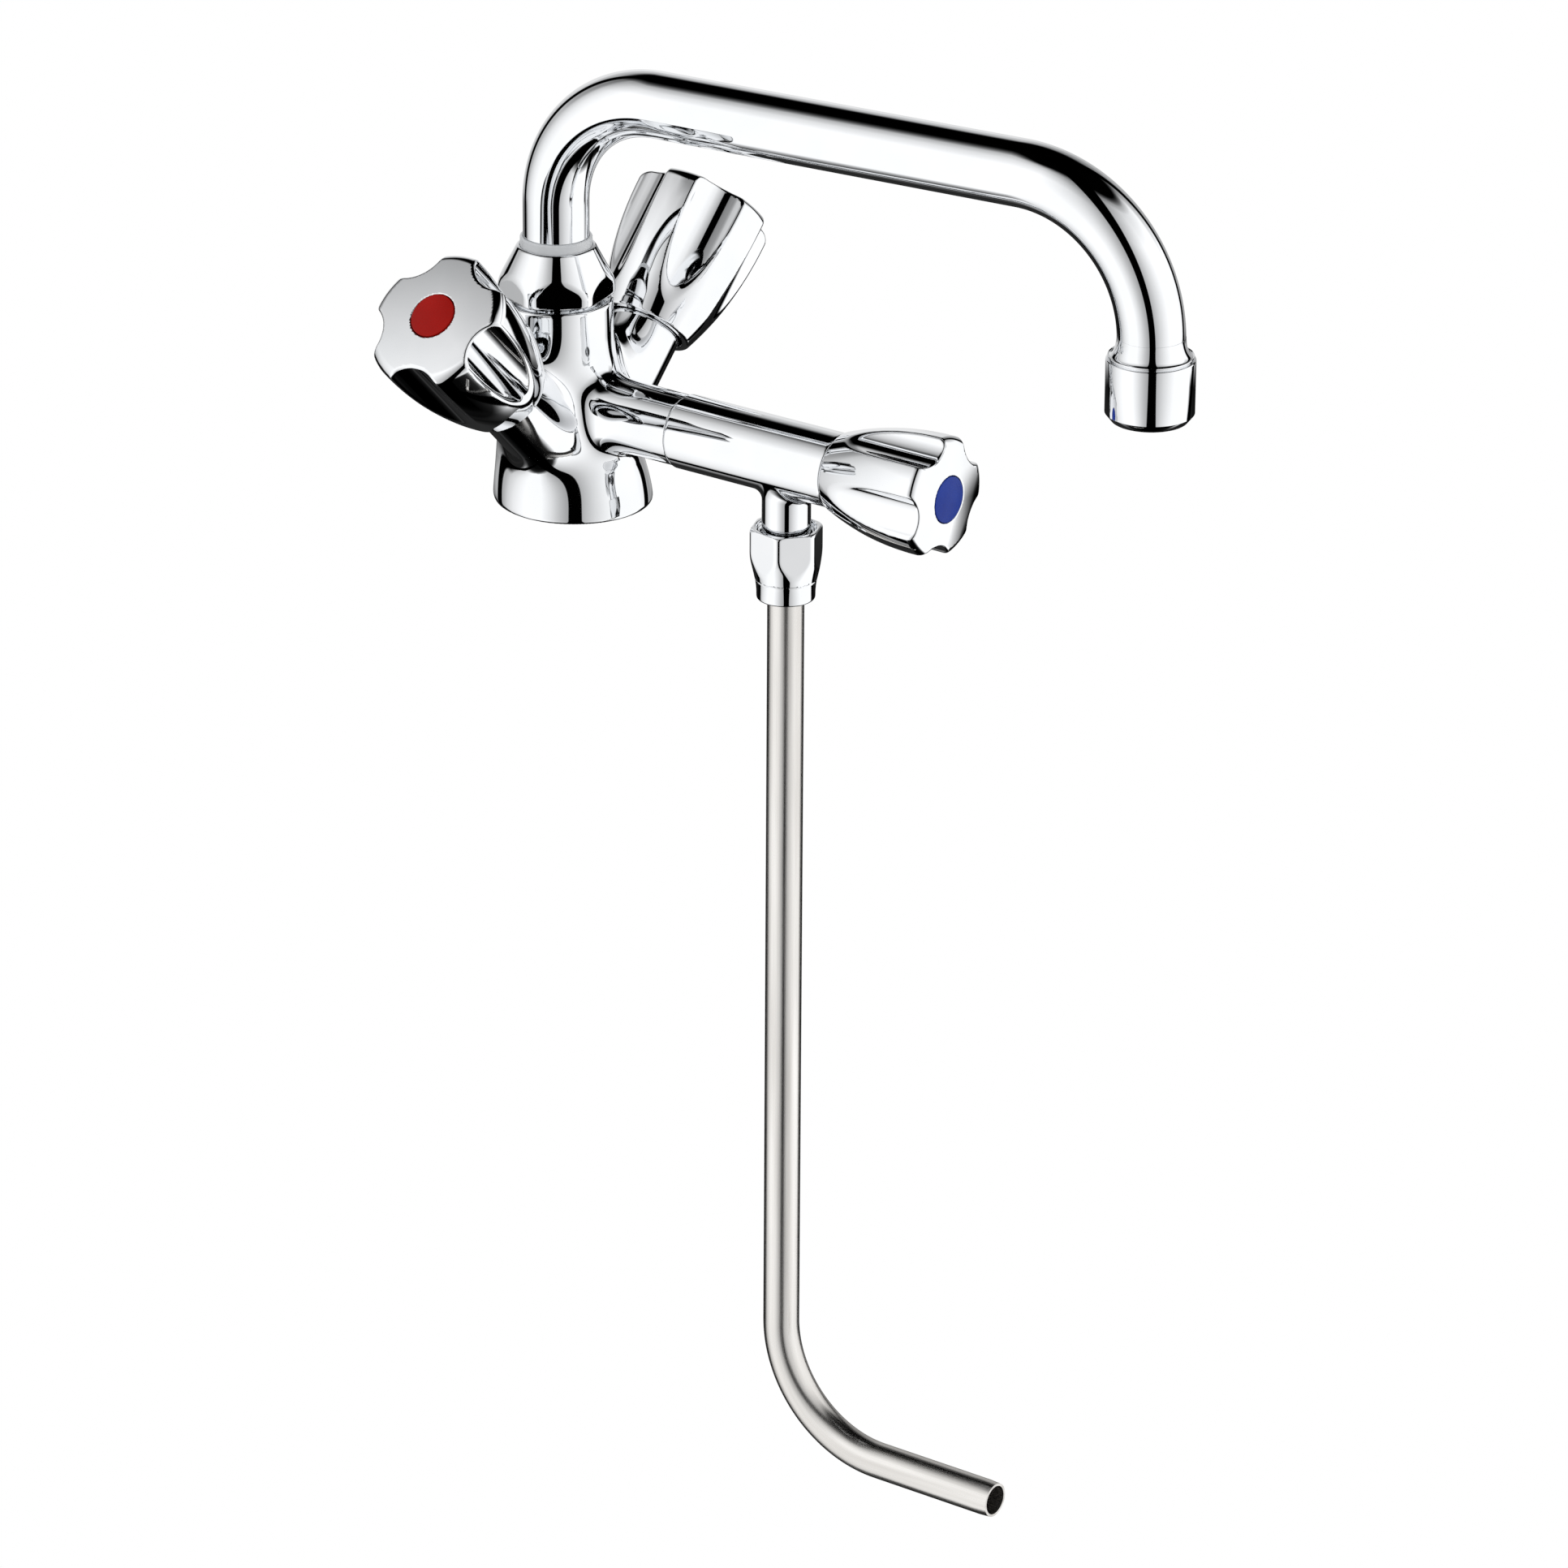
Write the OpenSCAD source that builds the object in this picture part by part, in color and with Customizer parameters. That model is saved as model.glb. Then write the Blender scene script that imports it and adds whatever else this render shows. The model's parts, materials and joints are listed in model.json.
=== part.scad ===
// Deck-mounted two-handle mixer tap with a swivel spout and a side stop valve that feeds a bent
// down-pipe. Millimetres. The origin is the centre of the base's underside, which rests on the deck.
// +Z is up, +X points along the side valve, and the hot handle leans towards -Y.

/* [Base and casting] */
// Diameter of the base where it meets the deck
base_d = 42.6; // [40:0.2:60]
// Height of the base before it narrows into the casting
base_h = 16; // [12:1:20]
// Distance from the centre of the base back to the spout column
column_back = 6; // [3:0.5:8]
// Height of the spout column's shoulder above the deck
column_h = 57; // [54:1:75]
// Diameter of the spout column at its shoulder
column_d = 30.8; // [29:0.2:36]
// Diameter of the spout column at its foot
column_foot_d = 34.4; // [32:0.2:38]
// Height at which the hot and cold branches cross on the centre line
branch_z = 8.9; // [8:0.1:11]
// Lean of the hot and cold branches from upright
branch_lean = 45; // [42:1:48]
// Distance from the crossing to the end face of each branch
branch_l = 48.5; // [46:0.5:58]
// Diameter of each branch
branch_d = 20.4; // [19.6:0.2:22]
// Height of the side arm above the deck
arm_z = 28; // [27:0.5:32]
// Distance from the centre of the base to the seam between the side arm and the side valve
arm_l = 37.5; // [34:0.5:46]
// Diameter of the side arm
arm_d = 19.6; // [18.6:0.2:22]

/* [Spout] */
// Reach of the spout from the column to the outlet
spout_reach = 181; // [140:1:260]
// Height of the spout's level run above the deck
spout_h = 116.5; // [112:0.5:200]
// Outer diameter of the spout tube
spout_d = 18; // [16:0.2:18.4]
// Wall of the spout tube
spout_wall = 1; // [0.8:0.1:1.5]
// Bend radius of the tube's centre line above the column
bend_near_r = 32; // [24:1:34]
// Bend radius of the tube's centre line above the outlet
bend_far_r = 39; // [24:1:39]
// Angle of the spout at rest from the side valve
spout_turn = 6; // [0:1:90]
// Length of straight outlet between the far bend and the aerator housing
flare_l = 4.5; // [4:0.5:40]
// Diameter of the spout nut where it is round
spout_nut_d = 32; // [31:0.2:36]
// Size across the flats of the spout nut
spout_nut_af = 28.5; // [28:0.1:30]
// Height of the spout nut
spout_nut_h = 14; // [13:0.5:20]
// Height of grey collar that shows above the nut
collar_show = 2.6; // [1:0.2:5]
// Outer diameter of the aerator housing
aerator_d = 23.6; // [23.4:0.2:28]
// Height of the aerator housing
aerator_h = 17; // [15:0.5:24]

/* [Side valve and pipe] */
// Diameter of the side valve's body
valve_d = 20.4; // [19.8:0.2:22]
// Distance from the centre of the base to the end face of the side valve
valve_end = 89.2; // [86:0.2:110]
// Distance of the downward outlet from the centre of the base
outlet_x = 71.3; // [69:0.1:73]
// Diameter of the downward outlet's neck
outlet_neck_d = 13.2; // [12:0.2:13.6]
// Height above the deck of the compression nut's top edge
nut_top_z = 8.4; // [4:0.2:12]
// Height of the compression nut
nut_h = 20.4; // [19:0.2:26]
// Size across the flats of the compression nut
nut_af = 18; // [17:0.1:20]
// Diameter of the compression nut where it is round
nut_d = 20.2; // [19.4:0.2:23]
// Outer diameter of the down-pipe
pipe_d = 10; // [8:0.1:10.4]
// Wall of the down-pipe
pipe_wall = 1; // [0.6:0.1:1.5]
// Depth of the pipe's lower run below the deck
pipe_depth = 261.3; // [120:1:400]
// Bend radius of the pipe's centre line
pipe_bend_r = 34; // [20:1:50]
// Distance from the centre of the base to the pipe's cut end
pipe_end_x = 144.5; // [125:0.5:300]

/* [Handles] */
// Length of a hot or cold handle from its mouth to the top of its index button
handle_l = 42.9; // [42:0.1:50]
// Largest diameter of a hot or cold handle across its lobes
handle_d = 39.5; // [37:0.1:46]
// Diameter of a hot or cold handle at its mouth
handle_mouth_d = 25.8; // [25:0.1:27]
// Size of the side handle as a share of the other two
side_share = 0.84; // [0.84:0.01:1]
// Number of lobes round each handle
lobes = 5; // [4:1:6]
// Diameter of the index buttons
index_d = 12.8; // [10:0.2:13]
// Turns of a handle from shut to fully open
handle_turns = 2; // [1:0.25:2]
// Advance of the valve plug per turn
plug_pitch = 1.75; // [1:0.25:1.75]

/* [Fits and mounts] */
// Diameter of each supply inlet, the core of an M10x1 thread
inlet_d = 9; // [8:0.1:10]
// Distance between the two supply inlets
inlet_gap = 15; // [14:0.5:18]
// Diameter of the fixing stud's hole, the core of an M8 thread
stud_d = 6.8; // [5:0.1:8]
// Diametral clearance of parts that turn or slide in one another
run_fit = 0.1; // [0.06:0.02:0.16]
// Diametral clearance of threads and sockets that stay put
still_fit = 0.04; // [0.02:0.01:0.1]

/* [Hidden] */
VALVES = ["hot", "cold", "side"];
VALVE_PIECES = ["headwork", "headwork_seal", "spindle", "spindle_o_ring", "circlip", "plug",
    "plug_washer", "washer_screw", "handle", "handle_screw", "index"];

$fn = 96;
eps = 0.01;
chrome = [0.78, 0.8, 0.82];
brass = [0.72, 0.58, 0.3];
steel = [0.6, 0.6, 0.6];
rubber = [0.12, 0.12, 0.12];
grey_plastic = [0.62, 0.63, 0.64];
white_plastic = [0.9, 0.9, 0.88];
red = [0.62, 0.04, 0.04];
blue = [0.2, 0.25, 0.62];

run_gap = run_fit / 2;
still_gap = still_fit / 2;
// A shut washer stops this far from its seat, so that the two bodies don't share a face
seat_gap = 0.05;

// Base and casting
base_r = base_d / 2;
base_corner = 1.2;
bell_narrowing = 4;
seal_r = base_r - 3;
seal_width = 3;
seal_depth = 2;
inlet_x = -2;
inlet_depth = 12;
stud_x = 10.5;
stud_depth = 14;
waterway_d = 6.4;
branch_r = branch_d / 2;
arm_r = arm_d / 2;
arm_root_r = arm_r + 2.4;
arm_root_x = [base_r - 7, base_r + 1];
arm_feed_d = 6;
arm_bore_start = 8;

// Headwork, measured outwards from the end face of its branch
thread_d = 16;
chamber_depth = 19.5;
seat_height = 1.5;
seat_bore_d = 7.2;
seat_rim_d = 10;
barrel_depth = 13.5;
washer_t = 2;
plug_head_t = 4;
plug_af = 11;
plug_stem_d = 6.3;
plug_bore_d = 3;
washer_d = 10.6;
washer_screw_l = 3;
spindle_foot_d = 10.8;
spindle_foot_depth = 8;
spindle_d = 8;
spindle_shoulder = -0.3;
headwork_seal_t = 0.8;
flange_t = 1.5;
flange_d = 17.8;
headwork_hex_af = 14;
headwork_hex_t = 3.7;
neck_d = 12.4;
neck_top = 13;
circlip_t = 0.7;
circlip_groove_t = 0.8;
circlip_d = 11.2;
circlip_gap_w = 2.4;
spline_d = 7.6;
spline_start = 14.6;
spindle_top = 24;
ring_section_d = 1.1;
spindle_ring_at = 4.6;
seat_u = -chamber_depth + seat_height;
washer_u = seat_u + seat_gap;
plug_travel = handle_turns * plug_pitch;
// The plug's stem ends this far inside the spindle's bore when the valve is fully open
spindle_bore_top = 0.5;
stem_room = 0.55;
plug_stem_l = spindle_bore_top - stem_room - plug_travel - washer_u - washer_t - plug_head_t;

// Handles, measured outwards from their mouths
mouth_lap = 3.7;
side_mouth_gap = 0.3;
handle_web_t = 3;
web_gap = 0.5;
belly_drop = 1.7;
mouth_edge = 0.5;
handle_edge_r = 2.2;
face_dome = 1.9;
flute_out = handle_d / 2 + 4.85;
flute_depth = 4.45;
flute_r = flute_out - handle_d / 2 + flute_depth;
hot_lobe_angle = 24;
cold_lobe_angle = 61;
side_lobe_angle = 22;
index_dome = 0.6;
index_recess = 3;
handle_screw_d = 4;
handle_screw_l = 8;
screw_head_d = 7;
screw_head_t = 2.4;
screw_socket_af = 2.5;
screw_socket_depth = 1.4;

// Spout
column_bore_d = spout_d + 2;
column_neck_d = spout_d + 6;
column_neck_h = 8;
mix_duct_d = 4.8;
mix_web_d = 9;
// Where the mixing passage leaves a valve chamber: along its axis and towards the column
mix_along = branch_l + seat_u + 3.2;
mix_across = 5.4;
mix_duct_z = branch_z + mix_along * cos(branch_lean) + mix_across * sin(branch_lean);
mix_duct_y = mix_along * sin(branch_lean) - mix_across * cos(branch_lean);
column_bore_floor = mix_duct_z - mix_duct_d / 2 - 1.2;
nut_gap = 1;
nut_foot = column_h + nut_gap;
nut_top = nut_foot + spout_nut_h;
nut_top_r = spout_d / 2 + 1.6;
nut_shoulder_t = 3;
nut_flat_turn = -50;
flange_ring_t = 0.9;
spigot_flange_t = 1.5;
spigot_flange_d = spout_d + 3.8;
spigot_foot = mix_duct_z + mix_duct_d / 2 + 2.5;
spigot_bore_d = spout_d - 5;
o_rings_up = [3.5, 8.5];
tube_seat = spigot_foot + 11;
o_ring_d = 2;
o_ring_groove_w = 2.6;
collar_flange_d = spigot_flange_d;
collar_d = spout_d + 1.6;
neck_top_z = column_h + column_neck_h;
thrust_z = neck_top_z;
spigot_flange_z = thrust_z + flange_ring_t + run_gap;
collar_z = spigot_flange_z + spigot_flange_t + run_gap;
nut_shoulder_z = nut_top - nut_shoulder_t;

// Outlet, measured along the spout's own downward axis
far_bend_end = spout_h - bend_far_r;
aerator_top = far_bend_end - flare_l;
aerator_foot = aerator_top - aerator_h;
tube_lap = 5;
tube_end = aerator_top - tube_lap;
flare_gap = 0.3;
flare_d = aerator_d - 1;
outlet_thread_d = aerator_d - 1.7;
outlet_thread_l = 9;
aerator_lip_t = 1.6;
aerator_bevel = 2.2;
aerator_mouth_d = aerator_d - 4.6;
aerator_washer_t = 1.8;
aerator_insert_d = outlet_thread_d - 1.6;

// Side valve and pipe
valve_r = valve_d / 2;
valve_spigot_d = 15;
valve_spigot_l = 8.5;
valve_seal_t = 1.5;
valve_bore_d = 8;
outlet_bore_d = 6.8;
outlet_thread_od = 14;
outlet_neck_foot = nut_top_z - 3;
outlet_foot = nut_top_z - nut_h * 0.68;
pipe_seat = outlet_foot + 8;
mouth_cone_l = 1.8;
olive_l = 4;
olive_cone_l = 1.8;
olive_r = pipe_d / 2 + 1.3;
olive_foot = outlet_foot - olive_l;
olive_top = outlet_foot - 0.4;
// The compression nut's turned outline under its round part: depth below its top edge, then the
// share of its radius
nut_steps = [[7.6, 1], [11.6, 0.9], [14.7, 0.832], [16.9, 0.792], [nut_h - 0.6, 0.782]];
nut_foot_corner = 0.5;
nut_corner_top = 0.8;
nut_recess_d = 16.4;
nut_recess_depth = 1.5;
nut_floor = nut_top_z - nut_h;
nut_turn = -8;
pipe_gap = 0.05;

function bell_r(z) = base_r - bell_narrowing * pow(z / base_h, 1.6);
function arc(centre, r, from, to, steps) =
    [for (i = [0:steps]) let (a = from + (to - from) * i / steps) centre + r * [cos(a), sin(a)]];

module ring(outer_d, inner_d, h) {
    difference() {
        cylinder(d = outer_d, h = h);
        translate([0, 0, -1]) cylinder(d = inner_d, h = h + 2);
    }
}

module hex(af, h) {
    cylinder(d = af / cos(30), h = h, $fn = 6);
}

module o_ring(centre_r, section_d) {
    rotate_extrude() translate([centre_r, 0]) circle(d = section_d, $fn = 32);
}

// A cylinder from one point to another
module rod(from, to, d) {
    span = to - from;
    translate(from)
        rotate([0, acos(span[2] / norm(span)), atan2(span[1], span[0])])
            cylinder(d = d, h = norm(span));
}

// Puts a piece on a valve's axis, with its origin at the end face that the headwork screws into
module on_valve(v) {
    if (v == "side")
        translate([valve_end, 0, arm_z]) rotate([0, 90, 0]) children();
    else
        translate([0, 0, branch_z])
            rotate([v == "hot" ? branch_lean : -branch_lean, 0, 0])
                translate([0, 0, branch_l]) children();
}

// Puts a piece in the spout's frame: the column's axis, turned to where the spout rests
module on_spout() {
    translate([-column_back, 0, 0]) rotate(spout_turn) children();
}

module on_outlet() {
    on_spout() translate([spout_reach, 0, 0]) children();
}

// Base and casting ----------------------------------------------------------------------------

module base_bell() {
    outline = concat([[0, 0], [base_r - base_corner, 0]],
        [for (z = [base_corner : (base_h - base_corner) / 8 : base_h + eps]) [bell_r(z), z]],
        [[arm_r, base_h + 9], [0, base_h + 9]]);
    rotate_extrude() polygon(outline);
}

module arm_outline() {
    translate([-column_back, 0, arm_z]) rotate([0, 90, 0]) cylinder(r = arm_r, h = arm_l + column_back);
    translate([0, 0, arm_z]) rotate([0, 90, 0])
        translate([0, 0, arm_root_x[0]])
            cylinder(r1 = arm_root_r, r2 = arm_r, h = arm_root_x[1] - arm_root_x[0]);
}

module body_outside() {
    base_bell();
    translate([-column_back, 0, base_corner])
        cylinder(d1 = column_foot_d, d2 = column_d, h = column_h - base_corner);
    translate([-column_back, 0, column_h - 1]) cylinder(d = column_neck_d, h = column_neck_h + 1);
    arm_outline();
    for (v = ["hot", "cold"]) on_valve(v)
        translate([0, 0, -branch_l]) cylinder(r = branch_r, h = branch_l);
    for (side = [-1, 1]) mix_duct(side, mix_web_d);
}

// The passage from a branch's valve chamber into the spout column
module mix_duct(side, d) {
    rod([0, side * mix_duct_y, mix_duct_z], [-column_back, side * column_bore_d * 0.3, mix_duct_z], d);
}

// What a headwork needs in the metal that it screws into
module valve_chamber(seat_passage) {
    difference() {
        translate([0, 0, -chamber_depth]) cylinder(d = thread_d, h = chamber_depth + 1);
        translate([0, 0, -chamber_depth - 1]) cylinder(d = seat_rim_d, h = seat_height + 1);
    }
    translate([0, 0, seat_u - seat_passage]) cylinder(d = seat_bore_d, h = seat_passage + 1);
}

module body_passages() {
    translate([-column_back, 0, column_bore_floor]) cylinder(d = column_bore_d, h = column_h);
    for (side = [-1, 1]) {
        translate([inlet_x, side * inlet_gap / 2, -1]) cylinder(d = inlet_d, h = inlet_depth + 1);
        translate([inlet_x, side * inlet_gap / 2, 0])
            cylinder(d = waterway_d, h = branch_z + inlet_gap / 2);
        mix_duct(side, mix_duct_d);
    }
    for (v = ["hot", "cold"]) on_valve(v) valve_chamber(branch_l + seat_u - inlet_gap / 2);
    rod([inlet_x, inlet_gap / 2, branch_z + inlet_gap / 2 - 2], [arm_bore_start + 2, 0, arm_z],
        arm_feed_d);
    translate([arm_bore_start, 0, arm_z]) rotate([0, 90, 0]) cylinder(d = valve_bore_d, h = arm_l);
    translate([arm_l - valve_spigot_l - valve_seal_t, 0, arm_z]) rotate([0, 90, 0])
        cylinder(d = valve_spigot_d + still_fit, h = arm_l);
    translate([stud_x, 0, -1]) cylinder(d = stud_d, h = stud_depth + 1);
    translate([0, 0, -1]) ring(2 * seal_r, 2 * (seal_r - seal_width), seal_depth + 1);
}

module body() {
    color(chrome) difference() {
        body_outside();
        body_passages();
    }
}

module base_seal() {
    color(rubber) ring(2 * seal_r - still_fit, 2 * (seal_r - seal_width) + still_fit, seal_depth);
}

// Spout ---------------------------------------------------------------------------------------

// The spout's run as a solid bar of diameter d, run on past both ends by extra
module spout_bar(d, extra = 0) {
    translate([0, 0, tube_seat - extra])
        cylinder(d = d, h = spout_h - bend_near_r - tube_seat + extra);
    translate([bend_near_r, 0, spout_h - bend_near_r]) rotate([90, 0, 0]) rotate([0, 0, 90])
        rotate_extrude(angle = 90) translate([bend_near_r, 0]) circle(d = d);
    translate([bend_near_r, 0, spout_h]) rotate([0, 90, 0])
        cylinder(d = d, h = spout_reach - bend_near_r - bend_far_r);
    translate([spout_reach - bend_far_r, 0, far_bend_end]) rotate([90, 0, 0])
        rotate_extrude(angle = 90) translate([bend_far_r, 0]) circle(d = d);
    translate([spout_reach, 0, tube_end - extra]) cylinder(d = d, h = far_bend_end - tube_end + extra);
}

module spout_tube() {
    color(chrome) on_spout() difference() {
        spout_bar(spout_d);
        spout_bar(spout_d - 2 * spout_wall, 1);
    }
}

// The turned piece on the tube's foot that carries the O-rings and turns in the column
module spout_spigot() {
    body_r = column_bore_d / 2 - run_gap;
    groove_r = column_bore_d / 2 - o_ring_d;
    color(brass) on_spout() difference() {
        union() {
            translate([0, 0, spigot_foot]) cylinder(r = body_r, h = collar_z - run_gap - spigot_foot);
            translate([0, 0, spigot_flange_z]) cylinder(d = spigot_flange_d, h = spigot_flange_t);
        }
        translate([0, 0, spigot_foot - 1]) cylinder(d = spigot_bore_d, h = spout_h);
        translate([0, 0, tube_seat]) cylinder(d = spout_d + still_fit, h = spout_h);
        for (up = o_rings_up) translate([0, 0, spigot_foot + up - o_ring_groove_w / 2])
            ring(column_bore_d + 1, 2 * groove_r, o_ring_groove_w);
    }
}

module spout_o_ring(up) {
    centre_r = column_bore_d / 2 - o_ring_d / 2;
    color(rubber) on_spout() translate([0, 0, spigot_foot + up]) o_ring(centre_r, o_ring_d - run_fit);
}

module spout_thrust_ring() {
    color(white_plastic) on_spout() translate([0, 0, thrust_z])
        ring(collar_flange_d, column_bore_d + 0.2, flange_ring_t);
}

// The plastic bearing that the tube turns in; its lip shows above the nut
module spout_collar() {
    lip_top = nut_top + collar_show;
    outline = [[spout_d / 2 + run_gap, collar_z], [collar_flange_d / 2, collar_z],
        [collar_flange_d / 2, nut_shoulder_z - run_gap], [collar_d / 2, nut_shoulder_z - run_gap],
        [collar_d / 2, lip_top - 0.6], [collar_d / 2 - 0.4, lip_top], [spout_d / 2 + run_gap, lip_top]];
    color(grey_plastic) on_spout() rotate_extrude() polygon(outline);
}

module spout_nut() {
    r = spout_nut_d / 2;
    outline = [[0, nut_foot], [r - 0.9, nut_foot], [r - 0.3, nut_foot + 0.3], [r, nut_foot + 1],
        [r, nut_foot + 3.2], [r - 0.3, nut_foot + 4], [nut_top_r, nut_top - 0.3],
        [nut_top_r - 0.3, nut_top], [0, nut_top]];
    color(chrome) translate([-column_back, 0, 0]) difference() {
        intersection() {
            rotate_extrude() polygon(outline);
            translate([0, 0, nut_foot - 1]) rotate(nut_flat_turn - 30) hex(spout_nut_af, spout_nut_h + 2);
        }
        translate([0, 0, nut_foot - 1])
            cylinder(d = column_neck_d + still_fit, h = neck_top_z - nut_foot + 1 + eps);
        translate([0, 0, neck_top_z]) cylinder(d = collar_flange_d + 0.4, h = nut_shoulder_z - neck_top_z);
        translate([0, 0, nut_foot]) cylinder(d = collar_d + run_fit, h = spout_nut_h + 1);
    }
}

// The turned fitting on the tube's free end: a flare, then the thread for the aerator housing
module outlet_end() {
    color(chrome) on_outlet() difference() {
        union() {
            translate([0, 0, aerator_top + flare_gap])
                cylinder(d1 = flare_d, d2 = spout_d + 0.4, h = flare_l - flare_gap);
            translate([0, 0, aerator_top - outlet_thread_l])
                cylinder(d = outlet_thread_d, h = outlet_thread_l + flare_gap + eps);
        }
        translate([0, 0, aerator_foot]) cylinder(d = spout_d - 2 * spout_wall, h = aerator_h);
        translate([0, 0, tube_end]) cylinder(d = spout_d + still_fit, h = spout_h);
    }
}

module aerator_housing() {
    r = aerator_d / 2;
    outline = [[0, aerator_foot], [r - aerator_bevel * 0.75, aerator_foot], [r, aerator_foot + aerator_bevel],
        [r, aerator_top - 0.5], [r - 0.4, aerator_top], [0, aerator_top]];
    color(chrome) on_outlet() difference() {
        rotate_extrude() polygon(outline);
        translate([0, 0, aerator_foot + aerator_lip_t])
            cylinder(d = outlet_thread_d + still_fit, h = aerator_h);
        translate([0, 0, aerator_foot - 1]) cylinder(d = aerator_mouth_d, h = aerator_h);
    }
}

// The plastic cartridge with its rings and spokes
module aerator_insert() {
    top = aerator_top - outlet_thread_l - aerator_washer_t;
    foot = aerator_foot + aerator_lip_t;
    h = top - foot;
    color(white_plastic) on_outlet() translate([0, 0, foot]) {
        ring(aerator_insert_d, aerator_insert_d - 2, h);
        ring(aerator_insert_d * 0.62, aerator_insert_d * 0.62 - 1, h * 0.6);
        cylinder(d = 3, h = h * 0.6);
        for (turn = [0 : 45 : 135]) rotate(turn)
            translate([-aerator_insert_d / 2 + 0.5, -0.4, 0.6])
                cube([aerator_insert_d - 1, 0.8, h * 0.6 - 1.2]);
    }
}

module aerator_washer() {
    color(rubber) on_outlet() translate([0, 0, aerator_top - outlet_thread_l - aerator_washer_t])
        ring(outlet_thread_d - 0.2, spout_d - 2 * spout_wall, aerator_washer_t);
}

// Side valve and pipe -------------------------------------------------------------------------

module side_valve_body() {
    spigot_x = arm_l - valve_spigot_l;
    color(chrome) difference() {
        union() {
            translate([arm_l, 0, arm_z]) rotate([0, 90, 0]) {
                cylinder(r1 = valve_r - 0.4, r2 = valve_r, h = 0.4);
                translate([0, 0, 0.4]) cylinder(r = valve_r, h = valve_end - arm_l - 0.4);
            }
            translate([spigot_x, 0, arm_z]) rotate([0, 90, 0])
                cylinder(d = valve_spigot_d, h = valve_spigot_l + 1);
            translate([outlet_x, 0, outlet_neck_foot])
                cylinder(d = outlet_neck_d, h = arm_z - outlet_neck_foot);
            translate([outlet_x, 0, arm_z - valve_r - 1.6])
                cylinder(d1 = outlet_neck_d, d2 = outlet_neck_d + 5, h = 3);
            translate([outlet_x, 0, outlet_foot])
                cylinder(d = outlet_thread_od, h = outlet_neck_foot - outlet_foot + eps);
        }
        on_valve("side") valve_chamber(valve_end);
        translate([outlet_x, 0, pipe_seat])
            cylinder(d = outlet_bore_d, h = arm_z - seat_rim_d / 2 - pipe_seat - 0.4);
        translate([outlet_x, 0, outlet_foot - 1])
            cylinder(d = pipe_d + 2 * pipe_gap, h = pipe_seat - outlet_foot + 1);
        translate([outlet_x, 0, outlet_foot - eps])
            cylinder(r1 = olive_r + 0.1, r2 = pipe_d / 2, h = mouth_cone_l);
    }
}

module side_valve_seal() {
    color(rubber) translate([arm_l - valve_spigot_l - valve_seal_t, 0, arm_z]) rotate([0, 90, 0])
        ring(valve_spigot_d, valve_bore_d, valve_seal_t);
}

module compression_nut() {
    r = nut_d / 2;
    foot_r = r * nut_steps[len(nut_steps) - 1][1] - nut_foot_corner;
    outline = concat([[0, nut_top_z], [r - nut_corner_top, nut_top_z], [r, nut_top_z - nut_corner_top]],
        [for (step = nut_steps) [r * step[1], nut_top_z - step[0]]],
        [[foot_r, nut_floor], [0, nut_floor]]);
    color(chrome) translate([outlet_x, 0, 0]) difference() {
        intersection() {
            rotate_extrude() polygon(outline);
            translate([0, 0, nut_floor - 1]) rotate(nut_turn) hex(nut_af, nut_h + 2);
        }
        translate([0, 0, nut_top_z - nut_recess_depth])
            cylinder(d = nut_recess_d, h = nut_recess_depth + 1);
        translate([0, 0, olive_top]) cylinder(d = outlet_thread_od + still_fit, h = nut_h);
        translate([0, 0, olive_foot + olive_cone_l]) cylinder(r = olive_r + still_gap, h = nut_h / 2);
        translate([0, 0, olive_foot])
            cylinder(r1 = pipe_d / 2 + pipe_gap, r2 = olive_r + still_gap, h = olive_cone_l);
        translate([0, 0, nut_floor - 1]) cylinder(d = pipe_d + 2 * pipe_gap, h = nut_h);
    }
}

// The soft brass ring that the nut squeezes onto the pipe
module olive() {
    outline = [[pipe_d / 2 + still_gap, olive_foot + 0.6], [olive_r - 0.2, olive_foot + olive_cone_l + 0.2],
        [olive_r, outlet_foot - 0.6], [olive_r, outlet_foot - 0.1],
        [pipe_d / 2 + still_gap, outlet_foot + mouth_cone_l - 0.4]];
    color(brass) translate([outlet_x, 0, 0]) rotate_extrude() polygon(outline);
}

// The pipe's run as a solid bar of diameter d, run on past both ends by extra
module pipe_bar(d, extra = 0) {
    bend_z = pipe_bend_r - pipe_depth;
    bend_end = outlet_x + pipe_bend_r;
    translate([outlet_x, 0, bend_z]) cylinder(d = d, h = pipe_seat - bend_z + extra);
    translate([bend_end, 0, bend_z]) rotate([90, 0, 0]) rotate([0, 0, 180])
        rotate_extrude(angle = 90) translate([pipe_bend_r, 0]) circle(d = d);
    translate([bend_end, 0, -pipe_depth]) rotate([0, 90, 0])
        cylinder(d = d, h = pipe_end_x - bend_end + extra);
}

module outlet_pipe() {
    color(steel) difference() {
        pipe_bar(pipe_d);
        pipe_bar(pipe_d - 2 * pipe_wall, 1);
    }
}

// Headworks -----------------------------------------------------------------------------------

module headwork() {
    hex_top = headwork_seal_t + flange_t + headwork_hex_t;
    color(brass) difference() {
        union() {
            translate([0, 0, -barrel_depth])
                cylinder(d = thread_d - still_fit, h = barrel_depth + headwork_seal_t);
            translate([0, 0, headwork_seal_t]) cylinder(d = flange_d, h = flange_t);
            translate([0, 0, headwork_seal_t]) hex(headwork_hex_af, hex_top - headwork_seal_t);
            cylinder(d = neck_d, h = neck_top);
        }
        translate([0, 0, -barrel_depth - 1]) hex(plug_af + run_fit, barrel_depth + 1 + spindle_shoulder);
        translate([0, 0, -1]) cylinder(d = spindle_d + run_fit, h = neck_top + 2);
    }
}

module headwork_seal() {
    color(rubber) ring(flange_d, thread_d + 0.1, headwork_seal_t);
}

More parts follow.
